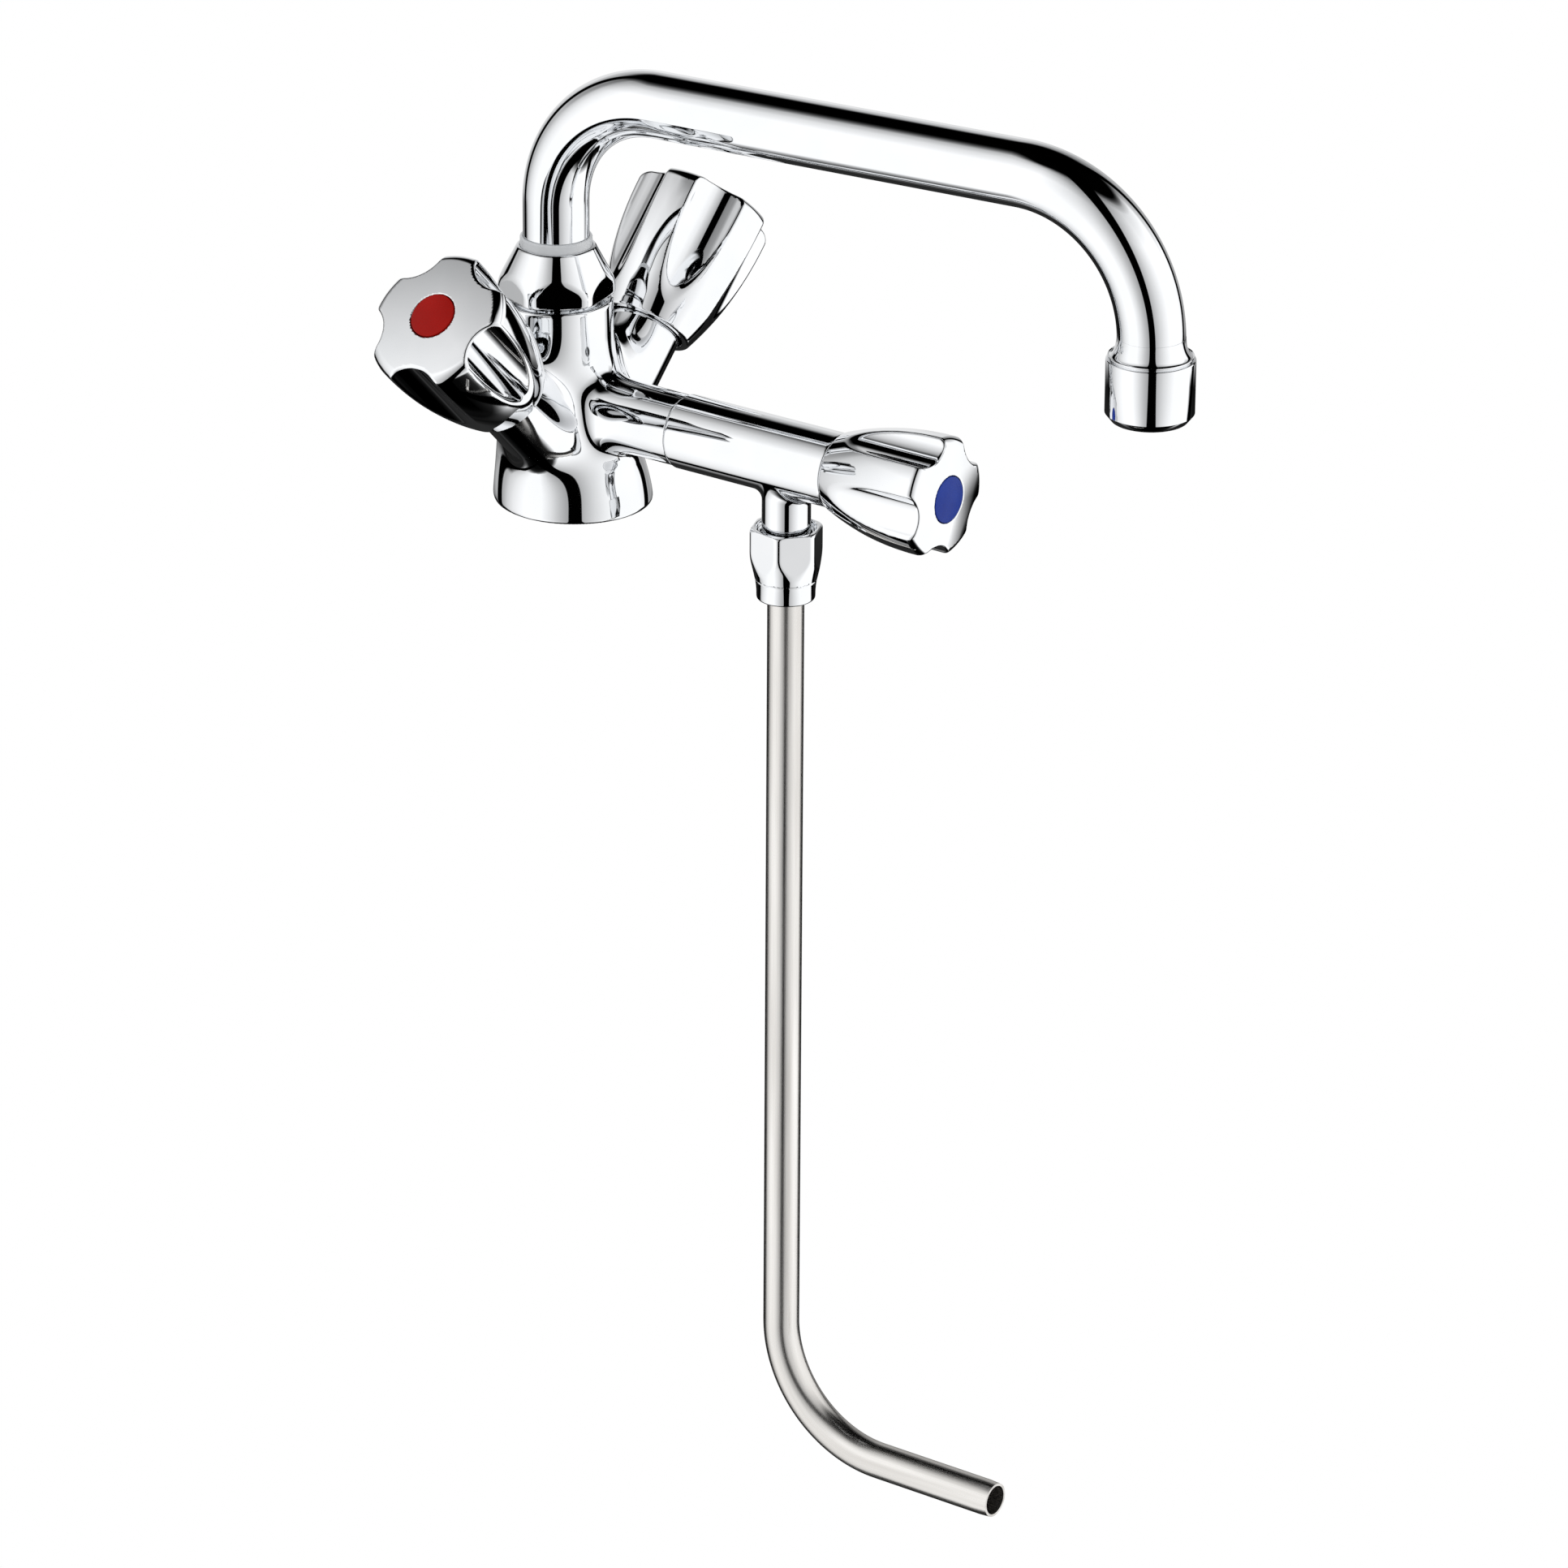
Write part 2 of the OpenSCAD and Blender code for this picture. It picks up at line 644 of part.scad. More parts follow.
// Points of a splined outline: squares turned round the axis
module spline(d, h) {
    linear_extrude(h) for (turn = [0 : 18 : 72]) rotate(turn) square(d * cos(45), center = true);
}

module spindle() {
    color(brass) difference() {
        union() {
            translate([0, 0, -spindle_foot_depth])
                cylinder(d = spindle_foot_d, h = spindle_foot_depth + spindle_shoulder - run_gap);
            translate([0, 0, -1]) cylinder(d = spindle_d, h = spline_start + 1);
            translate([0, 0, spline_start - 1]) spline(spline_d, spindle_top - spline_start + 1);
        }
        translate([0, 0, -spindle_foot_depth - 1])
            cylinder(d = plug_stem_d + run_fit, h = spindle_foot_depth + 1 + spindle_bore_top);
        translate([0, 0, spindle_ring_at - ring_section_d * 0.65])
            ring(spindle_d + 1, spindle_d + run_fit - 2 * ring_section_d, ring_section_d * 1.3);
        translate([0, 0, neck_top + 0.2]) ring(spindle_d + 1, spindle_d - 1.2, circlip_groove_t);
        translate([0, 0, spindle_top - handle_screw_l])
            cylinder(d = handle_screw_d + still_fit, h = handle_screw_l + 1);
    }
}

module spindle_o_ring() {
    centre_r = (spindle_d + run_fit - ring_section_d) / 2;
    color(rubber) translate([0, 0, spindle_ring_at]) o_ring(centre_r, ring_section_d - 0.08);
}

module circlip() {
    color(steel) translate([0, 0, neck_top + 0.25]) difference() {
        ring(circlip_d, spindle_d - 1.1, circlip_t);
        translate([0, -circlip_gap_w / 2, -1]) cube([circlip_d, circlip_gap_w, circlip_t + 2]);
    }
}

module plug() {
    head_foot = washer_u + washer_t;
    color(brass) difference() {
        union() {
            translate([0, 0, head_foot]) hex(plug_af, plug_head_t);
            translate([0, 0, head_foot]) cylinder(d = plug_stem_d, h = plug_head_t + plug_stem_l);
        }
        translate([0, 0, head_foot - 1]) cylinder(d = plug_bore_d + still_fit, h = washer_screw_l + 1.2);
    }
}

module plug_washer() {
    color(rubber) translate([0, 0, washer_u]) ring(washer_d, plug_bore_d + 0.1, washer_t);
}

module washer_screw() {
    head_t = 1.2;
    color(brass) translate([0, 0, washer_u - head_t]) difference() {
        union() {
            cylinder(d = 5, h = head_t);
            cylinder(d = plug_bore_d, h = head_t + washer_t + washer_screw_l);
        }
        translate([-3, -0.3, -1]) cube([6, 0.6, 1.6]);
    }
}

// Handles -------------------------------------------------------------------------------------

// The handle's outside before its inside is taken out; share scales the whole of it
module lobed_knob(share, lobe_angle) {
    face_z = handle_l - index_dome;
    rim_z = face_z - face_dome;
    lobe_r = handle_d / 2;
    mouth_r = handle_mouth_d / 2;
    edge_centre = [lobe_r - handle_edge_r, rim_z - handle_edge_r];
    // The side bellies out on one arc from the mouth to its widest, just under the rim
    belly_z = rim_z - handle_edge_r - belly_drop;
    belly_r = (pow(belly_z, 2) + pow(lobe_r - mouth_r, 2)) / 2 / (lobe_r - mouth_r);
    outline = concat([[0, 0], [mouth_r - mouth_edge, 0]],
        arc([lobe_r - belly_r, belly_z], belly_r, -asin((belly_z - mouth_edge) / belly_r), 0, 10),
        arc(edge_centre, handle_edge_r, 0, 75, 5), [[lobe_r * 0.45, face_z - 0.35], [0, face_z]]);
    scale(share) rotate(lobe_angle) difference() {
        rotate_extrude() polygon(outline);
        for (i = [0 : lobes - 1]) rotate((i + 0.5) * 360 / lobes)
            translate([flute_out, 0, -eps]) cylinder(r = flute_r, h = handle_l + 1);
    }
}

// What a handle needs inside: room for the headwork, the spline, the screw and the index button.
// Heights are measured from the end face that the headwork screws into.
module handle_inside(mouth, top, mouth_inner_d) {
    translate([0, 0, mouth - 1]) cylinder(d = mouth_inner_d, h = 4 - mouth);
    cylinder(d = flange_d - 0.2, h = 7);
    cylinder(d = neck_d + 1.6, h = spline_start);
    translate([0, 0, spline_start - 1]) spline(spline_d + 0.16, spindle_top - spline_start + 1.4);
    cylinder(d = handle_screw_d + 0.3, h = top);
    translate([0, 0, spindle_top + handle_web_t + web_gap]) cylinder(d = screw_head_d + 0.4, h = top);
    translate([0, 0, top - index_dome - index_recess]) cylinder(d = index_d + still_fit, h = top);
}

function share_of(v) = v == "side" ? side_share : 1;
function mouth_of(v) = v == "side" ? side_mouth_gap : -mouth_lap;
function knob_top(v) = mouth_of(v) + handle_l * share_of(v);
function mouth_inner_of(v) = v == "side" ? flange_d + 0.9 : branch_d + 1.6;
function lobe_angle_of(v) = v == "hot" ? hot_lobe_angle : v == "cold" ? cold_lobe_angle : side_lobe_angle;

module handle(v) {
    color(chrome) difference() {
        translate([0, 0, mouth_of(v)]) lobed_knob(share_of(v), lobe_angle_of(v));
        handle_inside(mouth_of(v), knob_top(v), mouth_inner_of(v));
    }
}

module handle_screw() {
    seat = spindle_top + handle_web_t + web_gap;
    screw_end = spindle_top - handle_screw_l + 1;
    color(steel) difference() {
        union() {
            translate([0, 0, seat]) cylinder(d = screw_head_d, h = screw_head_t);
            translate([0, 0, screw_end]) cylinder(d = handle_screw_d, h = seat - screw_end);
        }
        translate([0, 0, seat + screw_head_t - screw_socket_depth])
            hex(screw_socket_af, screw_socket_depth + 1);
    }
}

module index_button(v) {
    foot = knob_top(v) - index_dome - index_recess;
    rim = index_recess + index_dome * 0.4;
    ball_r = (pow(index_d / 2, 2) + pow(index_dome, 2)) / 2 / index_dome;
    color(v == "hot" ? red : blue) translate([0, 0, foot]) intersection() {
        cylinder(d = index_d - still_fit, h = index_recess + index_dome + 1);
        translate([0, 0, rim + index_dome * 0.6 - ball_r]) sphere(r = ball_r);
    }
}

module valve_piece(v, piece) {
    on_valve(v) {
        if (piece == "headwork") headwork();
        if (piece == "headwork_seal") headwork_seal();
        if (piece == "spindle") spindle();
        if (piece == "spindle_o_ring") spindle_o_ring();
        if (piece == "circlip") circlip();
        if (piece == "plug") plug();
        if (piece == "plug_washer") plug_washer();
        if (piece == "washer_screw") washer_screw();
        if (piece == "handle") handle(v);
        if (piece == "handle_screw") handle_screw();
        if (piece == "index") index_button(v);
    }
}

body();
base_seal();
spout_tube();
spout_spigot();
spout_o_ring(o_rings_up[0]);  // spout_lower_o_ring
spout_o_ring(o_rings_up[1]);  // spout_upper_o_ring
spout_thrust_ring();
spout_collar();
spout_nut();
outlet_end();
aerator_housing();
aerator_insert();
aerator_washer();
side_valve_body();
side_valve_seal();
compression_nut();
olive();
outlet_pipe();
for (v = VALVES, piece = VALVE_PIECES)
    valve_piece(v, piece);
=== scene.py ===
import json
import math

import bpy
import numpy as np
from mathutils import Matrix, Vector


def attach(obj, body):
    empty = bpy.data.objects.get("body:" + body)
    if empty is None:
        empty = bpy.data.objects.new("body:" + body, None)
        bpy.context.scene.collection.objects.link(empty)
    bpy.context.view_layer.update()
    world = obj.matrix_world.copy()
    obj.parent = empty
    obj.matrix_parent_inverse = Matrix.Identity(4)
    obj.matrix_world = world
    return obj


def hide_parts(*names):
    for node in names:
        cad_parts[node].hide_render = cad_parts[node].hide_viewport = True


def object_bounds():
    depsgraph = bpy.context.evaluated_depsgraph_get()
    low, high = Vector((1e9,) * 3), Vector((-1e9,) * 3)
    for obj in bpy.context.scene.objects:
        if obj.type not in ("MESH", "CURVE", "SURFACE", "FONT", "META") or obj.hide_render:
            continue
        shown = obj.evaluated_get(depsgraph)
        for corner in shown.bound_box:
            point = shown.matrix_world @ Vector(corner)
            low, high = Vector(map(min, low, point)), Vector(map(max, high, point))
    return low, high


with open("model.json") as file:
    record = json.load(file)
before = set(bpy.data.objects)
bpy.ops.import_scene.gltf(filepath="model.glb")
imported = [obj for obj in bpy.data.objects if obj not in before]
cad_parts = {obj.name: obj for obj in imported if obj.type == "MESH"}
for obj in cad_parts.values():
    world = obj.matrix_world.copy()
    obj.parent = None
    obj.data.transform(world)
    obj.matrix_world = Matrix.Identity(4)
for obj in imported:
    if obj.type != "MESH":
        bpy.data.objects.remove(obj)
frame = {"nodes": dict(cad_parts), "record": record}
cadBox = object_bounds()
mm = 0.001


# shapes are worked out in mm and turned to metres when a piece is made
def unit(v):
    v = np.asarray(v, float)
    return v / np.linalg.norm(v)


def roundMax(a, b, r):
    return np.minimum(-r, np.maximum(a, b)) + np.hypot(np.maximum(a + r, 0), np.maximum(b + r, 0))


def roundMin(a, b, r):
    return -roundMax(-a, -b, r)


def melt(a, b, k):
    # joins two solids with a soft casting fillet; k is how far it reaches
    h = np.maximum(k - np.abs(a - b), 0) / k
    return np.minimum(a, b) - h * h * h * k / 6


def along(p, start, axis):
    # height along an axis and distance from it
    q = p - np.asarray(start, float)
    h = q @ unit(axis)
    return h, np.sqrt(np.maximum((q * q).sum(-1) - h * h, 1e-12))


def rod(p, start, axis, radius, low, high, edge=0.01):
    h, rad = along(p, start, axis)
    return roundMax(rad - radius, np.abs(h - (low + high) / 2) - (high - low) / 2, edge)


def cone(p, start, axis, r0, r1, low, high, edge=0.01):
    h, rad = along(p, start, axis)
    slope = (r1 - r0) / (high - low)
    side = (rad - r0 - slope * (h - low)) / math.hypot(1, slope)
    return roundMax(side, np.abs(h - (low + high) / 2) - (high - low) / 2, edge)


def slopeOf(field, p, e=0.03):
    g = np.empty_like(p)
    for i in range(3):
        d = np.zeros(3)
        d[i] = e
        g[:, i] = field(p + d) - field(p - d)
    return g / (2 * e)


def skinOf(field, low, high, step):
    # quads on the field's zero surface, pulled exactly onto it, with the surface's own normals
    low, high = np.asarray(low, float), np.asarray(high, float)
    count = np.ceil((high - low) / step).astype(int) + 1
    grid = [low[i] + step * np.arange(count[i]) for i in range(3)]
    points = np.stack(np.meshgrid(*grid, indexing="ij"), -1).reshape(-1, 3)
    value = np.concatenate([field(part) for part in np.array_split(points, 8)]).reshape(count)
    inside = value < 0
    corner = [(i, j, k) for i in (0, 1) for j in (0, 1) for k in (0, 1)]
    cut = lambda a, c: a[tuple(slice(c[i], count[i] - 1 + c[i]) for i in range(3))]
    filled = sum(cut(inside, c).astype(np.int8) for c in corner)
    active = (filled > 0) & (filled < 8)
    where = np.argwhere(active)
    number = np.full(active.shape, -1)
    number[active] = np.arange(len(where))
    total, hits = np.zeros((len(where), 3)), np.zeros(len(where))
    for c in corner:
        for axis in range(3):
            if c[axis]:
                continue
            d = list(c)
            d[axis] = 1
            a, b = cut(value, c)[active], cut(value, d)[active]
            crossed = (a < 0) != (b < 0)
            place = np.tile(np.array(c, float), (len(where), 1))
            place[:, axis] = a / np.where(crossed, a - b, 1)
            total += place * crossed[:, None]
            hits += crossed
    verts = low + (where + total / hits[:, None]) * step
    for _ in range(6):
        g = slopeOf(field, verts)
        move = -(field(verts) / np.maximum((g * g).sum(-1), 0.05))[:, None] * g
        size = np.linalg.norm(move, axis=1, keepdims=True)
        verts += move * np.minimum(1, 0.4 * step / np.maximum(size, 1e-9))
    faces = []
    for axis in range(3):
        u, v = (axis + 1) % 3, (axis + 2) % 3
        first = [slice(None)] * 3
        second = [slice(None)] * 3
        first[axis], second[axis] = slice(0, count[axis] - 1), slice(1, count[axis])
        a, b = inside[tuple(first)], inside[tuple(second)]
        for flip, mask in ((False, a & ~b), (True, ~a & b)):
            e = np.argwhere(mask)
            e = e[(e[:, u] > 0) & (e[:, v] > 0) & (e[:, u] < count[u] - 1) & (e[:, v] < count[v] - 1)]
            ring = []
            for du, dv in ((-1, -1), (0, -1), (0, 0), (-1, 0)):
                q = e.copy()
                q[:, u] += du
                q[:, v] += dv
                ring.append(number[q[:, 0], q[:, 1], q[:, 2]])
            quad = np.stack(ring, 1)
            faces.append(quad[:, ::-1] if flip else quad)
    return verts, np.concatenate(faces), slopeOf(field, verts)


def addPiece(name, verts, faces, body, material, slotName, normals=None, uv=None, sharp=40):
    mesh = bpy.data.meshes.new(name)
    mesh.from_pydata((np.asarray(verts) * mm).tolist(), [], [list(map(int, f)) for f in faces])
    mesh.polygons.foreach_set("use_smooth", [True] * len(mesh.polygons))
    if uv is not None:
        layer = mesh.uv_layers.new(name="UVMap")
        loops = np.empty(len(mesh.loops), int)
        mesh.loops.foreach_get("vertex_index", loops)
        layer.data.foreach_set("uv", np.asarray(uv, float)[loops].ravel())
    mesh.validate()
    if normals is None:
        mesh.set_sharp_from_angle(angle=math.radians(sharp))
    else:
        lengths = np.linalg.norm(normals, axis=1)[:, None]
        mesh.normals_split_custom_set_from_vertices((normals / lengths).tolist())
    mesh.materials.append(material)
    piece = bpy.data.objects.new(name, mesh)
    bpy.context.scene.collection.objects.link(piece)
    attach(piece, body)
    return piece


def turned(outline, start, axis, sides=128):
    # a closed outline of (radius, height) turned round an axis; a radius of 0 makes a pole
    w = unit(axis)
    u = unit(np.cross([0.31, 0.2, 0.93] if abs(w[2]) < 0.9 else [1, 0, 0], w))
    v = np.cross(w, u)
    turn = np.arange(sides) * 2 * math.pi / sides
    verts, rings = [], []
    for r, h in outline:
        base = np.asarray(start, float) + w * h
        if r < 1e-6:
            rings.append([len(verts)])
            verts.append(base)
        else:
            rings.append(list(range(len(verts), len(verts) + sides)))
            verts.extend(base + r * (u * math.cos(t) + v * math.sin(t)) for t in turn)
    faces = []
    closed = len(rings[0]) > 1
    for a, b in zip(rings, rings[1:] + rings[:1] if closed else rings[1:]):
        for i in range(sides):
            j = (i + 1) % sides
            if len(a) == 1 and len(b) == 1:
                continue
            if len(a) == 1:
                faces.append((a[0], b[j], b[i]))
            elif len(b) == 1:
                faces.append((a[i], a[j], b[0]))
            else:
                faces.append((a[i], a[j], b[j], b[i]))
    return np.array(verts), faces


def arcPoints(cx, cy, r, fromDeg, toDeg, steps=6):
    t = np.radians(np.linspace(fromDeg, toDeg, steps + 1))
    return [(cx + r * math.cos(a), cy + r * math.sin(a)) for a in t]


def tube(path, side, outer, inner, sides=72, lip=0.15):
    # a pipe along path; side is the one direction that stays square to the whole path
    path = np.asarray(path, float)
    ahead = np.gradient(path, axis=0)
    ahead[0], ahead[-1] = path[1] - path[0], path[-1] - path[-2]
    ahead /= np.linalg.norm(ahead, axis=1)[:, None]
    side = unit(side)
    turn = np.arange(sides) * 2 * math.pi / sides
    length = np.concatenate([[0], np.cumsum(np.linalg.norm(np.diff(path, axis=0), axis=1))])
    rings = [(i, outer) for i in range(len(path))] + [(i, inner) for i in reversed(range(len(path)))]
    verts, uv = [], []
    for i, r in rings:
        other = np.cross(ahead[i], side)
        if i in (0, len(path) - 1):
            r = r - lip if r == outer else r + lip * 0.5
        for t in turn:
            verts.append(path[i] + r * (side * math.cos(t) + other * math.sin(t)))
            uv.append((t * outer * mm, length[i] * mm))
    faces = []
    for k in range(len(rings)):
        n = (k + 1) % len(rings)
        for i in range(sides):
            j = (i + 1) % sides
            faces.append((k * sides + i, k * sides + j, n * sides + j, n * sides + i))
    return np.array(verts), faces, uv


def linear(hexText):
    part = [int(hexText[i : i + 2], 16) / 255 for i in (0, 2, 4)]
    return tuple(c / 12.92 if c <= 0.04045 else ((c + 0.055) / 1.055) ** 2.4 for c in part) + (1,)


def addNode(tree, kind, inputs=None, **settings):
    node = tree.nodes.new(kind)
    for key, value in settings.items():
        setattr(node, key, value)
    for key, value in (inputs or {}).items():
        if isinstance(value, bpy.types.NodeSocket):
            tree.links.new(value, node.inputs[key])
        else:
            node.inputs[key].default_value = value
    return node


def setStops(ramp, stops):
    # (place, colour) pairs, in order, on a colour ramp
    band = ramp.color_ramp
    while len(band.elements) < len(stops):
        band.elements.new(1.0)
    for element, (place, colour) in zip(band.elements, stops):
        element.position, element.color = place, colour
    return ramp


def startMaterial(name, surface):
    material = bpy.data.materials.new(name)
    material.use_nodes = True
    tree = material.node_tree
    tree.nodes.clear()
    shader = addNode(tree, "ShaderNodeBsdfPrincipled", surface)
    addNode(tree, "ShaderNodeOutputMaterial", {"Surface": shader.outputs[0]})
    return material, tree, shader


def dress(tree, shader, patterns, colours, rough, depth):
    # patterns drive colour, gloss and bump in that order; depth is the bump's height in mm
    tone, sheen, relief = (pattern.outputs[0] for pattern in patterns)
    ramp = addNode(tree, "ShaderNodeValToRGB", {"Fac": tone})
    setStops(ramp, [(0.3, linear(colours[0])), (0.7, linear(colours[1]))])
    gloss = addNode(tree, "ShaderNodeMapRange", {"Value": sheen, "From Min": 0.3, "From Max": 0.7,
                                                 "To Min": rough[0], "To Max": rough[1]})
    bump = addNode(tree, "ShaderNodeBump", {"Height": relief, "Strength": 1.0, "Distance": depth * mm})
    for socket, node in (("Base Color", ramp), ("Roughness", gloss), ("Normal", bump)):
        tree.links.new(node.outputs[0], shader.inputs[socket])


def polishedMetal(name, colour, rough, waveSize, waveDepth, tint):
    # a polished plated metal: sharp reflections with a slight waviness from buffing
    material, tree, shader = startMaterial(name, {"Metallic": 1.0})
    place = addNode(tree, "ShaderNodeTexCoord").outputs["Object"]
    wave = addNode(tree, "ShaderNodeTexNoise", {"Vector": place, "Scale": 1000 / waveSize, "Detail": 1.0})
    haze = addNode(tree, "ShaderNodeTexNoise", {"Vector": place, "Scale": 60.0, "Detail": 4.0})
    dress(tree, shader, (haze, haze, wave), (colour, tint), rough, waveDepth)
    return material


# chrome plate on buffed brass: near white, mirror sharp, with a slow ripple where a casting was buffed
chromePlatedCasting = polishedMetal("chromePlatedCasting", "EFF0F2", (0.02, 0.045), 9.0, 0.012, "E9EBED")
# chrome plate on drawn tube and turned parts: the same finish, truer reflections
chromePlatedBrass = polishedMetal("chromePlatedBrass", "EFF0F2", (0.015, 0.035), 25.0, 0.006, "EAECEE")
# machined brass inside the valves: yellow metal with fine turning marks that soften its reflections
turnedBrass = polishedMetal("turnedBrass", "D6B26A", (0.18, 0.3), 0.8, 0.004, "C79F58")
# zinc plated steel screws and clips: bluish grey with a dull shine
zincPlatedSteel = polishedMetal("zincPlatedSteel", "AEB1B5", (0.25, 0.38), 1.5, 0.004, "9DA1A6")
print("metals made")


def satinStainless():
    # satin drawn stainless tube: fine draw lines along the pipe blur its reflections, and its edges darken
    surface = {"Metallic": 1.0, "Specular Tint": (0.42, 0.41, 0.4, 1)}
    material, tree, shader = startMaterial("satinStainless", surface)
    flat = addNode(tree, "ShaderNodeTexCoord").outputs["UV"]
    # draw lines about 0.35 mm apart and 60 mm long
    lines = addNode(tree, "ShaderNodeMapping", {"Vector": flat, "Scale": (2900.0, 16.0, 1.0)})
    fine = addNode(tree, "ShaderNodeTexNoise", {"Vector": lines.outputs[0], "Scale": 1.0, "Detail": 3.0})
    broad = addNode(tree, "ShaderNodeMapping", {"Vector": flat, "Scale": (260.0, 9.0, 1.0)})
    patch = addNode(tree, "ShaderNodeTexNoise", {"Vector": broad.outputs[0], "Scale": 1.0, "Detail": 5.0})
    dress(tree, shader, (patch, fine, fine), ("CFCCC8", "F2F0ED"), (0.19, 0.3), 0.006)
    return material


def mouldedPlastic(name, colour, shade, rough, grain, depth, shine=0.5):
    # a moulded part: one colour through and through, with a faint moulded texture
    material, tree, shader = startMaterial(name, {"IOR": 1.5, "Specular IOR Level": shine})
    place = addNode(tree, "ShaderNodeTexCoord").outputs["Object"]
    tone = addNode(tree, "ShaderNodeTexNoise", {"Vector": place, "Scale": 120.0, "Detail": 3.0})
    skin = addNode(tree, "ShaderNodeTexNoise", {"Vector": place, "Scale": 1000 / grain, "Detail": 2.0})
    dress(tree, shader, (tone, tone, skin), (shade, colour), rough, depth)
    return material


drawnStainless = satinStainless()
# acetal bearing collar: satin light grey
greyAcetal = mouldedPlastic("greyAcetal", "D4D6D8", "CACDD0", (0.2, 0.28), 0.5, 0.006)
# acetal aerator cartridge and thrust ring: clean white, slightly waxy
whiteAcetal = mouldedPlastic("whiteAcetal", "E6E6E2", "DCDCD7", (0.35, 0.45), 0.6, 0.006)
# nitrile rubber seals: dull black
nitrileRubber = mouldedPlastic("nitrileRubber", "1C1C1D", "151516", (0.55, 0.7), 0.4, 0.01)
# ABS index buttons: deep colour with a soft sheen, under a smooth moulded skin
redAbs = mouldedPlastic("redAbs", "A00C04", "930A03", (0.3, 0.36), 2.5, 0.004, 0.12)
blueAbs = mouldedPlastic("blueAbs", "2A429C", "243990", (0.3, 0.36), 2.5, 0.004, 0.12)
finishes = {
    "chrome": chromePlatedBrass, "brass": turnedBrass, "stainless": drawnStainless,
    "spring_steel": zincPlatedSteel, "rubber": nitrileRubber, "grey_plastic": greyAcetal,
    "white_plastic": whiteAcetal, "red_plastic": redAbs, "blue_plastic": blueAbs,
}
for sub in frame["record"]["subparts"]:
    shell = frame["nodes"][sub["node"]]
    shell.data.materials.clear()
    shell.data.materials.append(finishes[sub["material_slot"]])
print("plastics made, CAD nodes finished")

camera = {"turn": 36.128, "rise": 22.710, "roll": 0.364, "distance": 2200.0, "shiftRight": -56.920,
          "shiftUp": 77.700, "lens": 185.50, "sensor": 36.0, "clipEnd": 50.0}


def placeCamera(c):
    a, e, r = (math.radians(c[k]) for k in ("turn", "rise", "roll"))
    back = Vector((math.sin(a) * math.cos(e), -math.cos(a) * math.cos(e), math.sin(e)))
    right = Vector((math.cos(a), math.sin(a), 0))
    up = back.cross(right)
    x = right * math.cos(r) + up * math.sin(r)
    y = -right * math.sin(r) + up * math.cos(r)
    spot = (back * c["distance"] - x * c["shiftRight"] - y * c["shiftUp"]) * mm
    data = bpy.data.cameras.new("camera")
    data.lens, data.sensor_width, data.clip_end = c["lens"], c["sensor"], c["clipEnd"]
    eye = bpy.data.objects.new("camera", data)
    eye.matrix_world = Matrix.Translation(spot) @ Matrix((x, y, back)).transposed().to_4x4()
    bpy.context.scene.collection.objects.link(eye)
    bpy.context.scene.camera = eye
    flat = Vector((back.x, back.y, 0)).normalized()
    return flat, right


towardsCamera, towardsRight = placeCamera(camera)

# A white tent with its opening towards the camera: bright sides, a narrow black slot in front that runs on
# over the roof, a black roof panel behind it, a black seam down each side at the back, and a dark table.
# Each value is what a mirror facing that way shows.
studio = {
    "slotAt": 0.03, "slotHalf": 0.155, "slotEdge": 0.02, "slotFrom": -0.35, "slotFull": -0.2,
    "seamAt": 136.0, "seamLean": 0.3, "seamHalf": 6.0, "seamEdge": 2.5, "black": 0.03,
    "roofLean": 0.3, "roofLeft": -0.52, "roofLeftEdge": 0.16, "rearFull": -0.5, "rearFrom": -0.36,
    "response": 2.2, "gain": 1.18, "fill": 1.0,
    "bearing": [(-180, 0.9), (-160, 0.85), (-145, 0.7), (-120, 0.7), (-110, 0.81), (-98, 0.91),
                (-88, 0.96), (-78, 1.0), (-48, 1.0), (-33, 0.88), (-20, 0.74), (-10, 0.64), (10, 0.66),
                (18, 0.74), (30, 0.84), (45, 0.93), (60, 1.0), (128, 1.0), (145, 0.6), (165, 0.7),
                (180, 0.9)],
    "roof": [(0.74, 1.0), (0.8, 0.78), (0.84, 0.35), (0.87, 0.03)],
    "ceiling": [(0.56, 1.0), (0.76, 0.88), (0.92, 0.66)],
    "rear": [(-0.5, 0.2), (-0.37, 0.14), (-0.29, 0.95), (0.2, 1.0), (0.33, 0.87), (0.59, 0.7), (0.74, 0.6)],
    "table": [(-0.96, 0.06), (-0.9, 0.15), (-0.85, 0.65), (-0.8, 1.0)],
}


def shownAlong(tree, value, stops):
    # a brightness that changes along one measure of direction, as (measure, brightness) stops
    low, high = stops[0][0], stops[-1][0]
    place = addNode(tree, "ShaderNodeMapRange", {"Value": value, "From Min": low, "From Max": high})
    ramp = addNode(tree, "ShaderNodeValToRGB", {"Fac": place.outputs["Result"]})
    scaled = [((at - low) / (high - low), (shown, shown, shown, 1)) for at, shown in stops]
    return setStops(ramp, scaled).outputs["Color"]


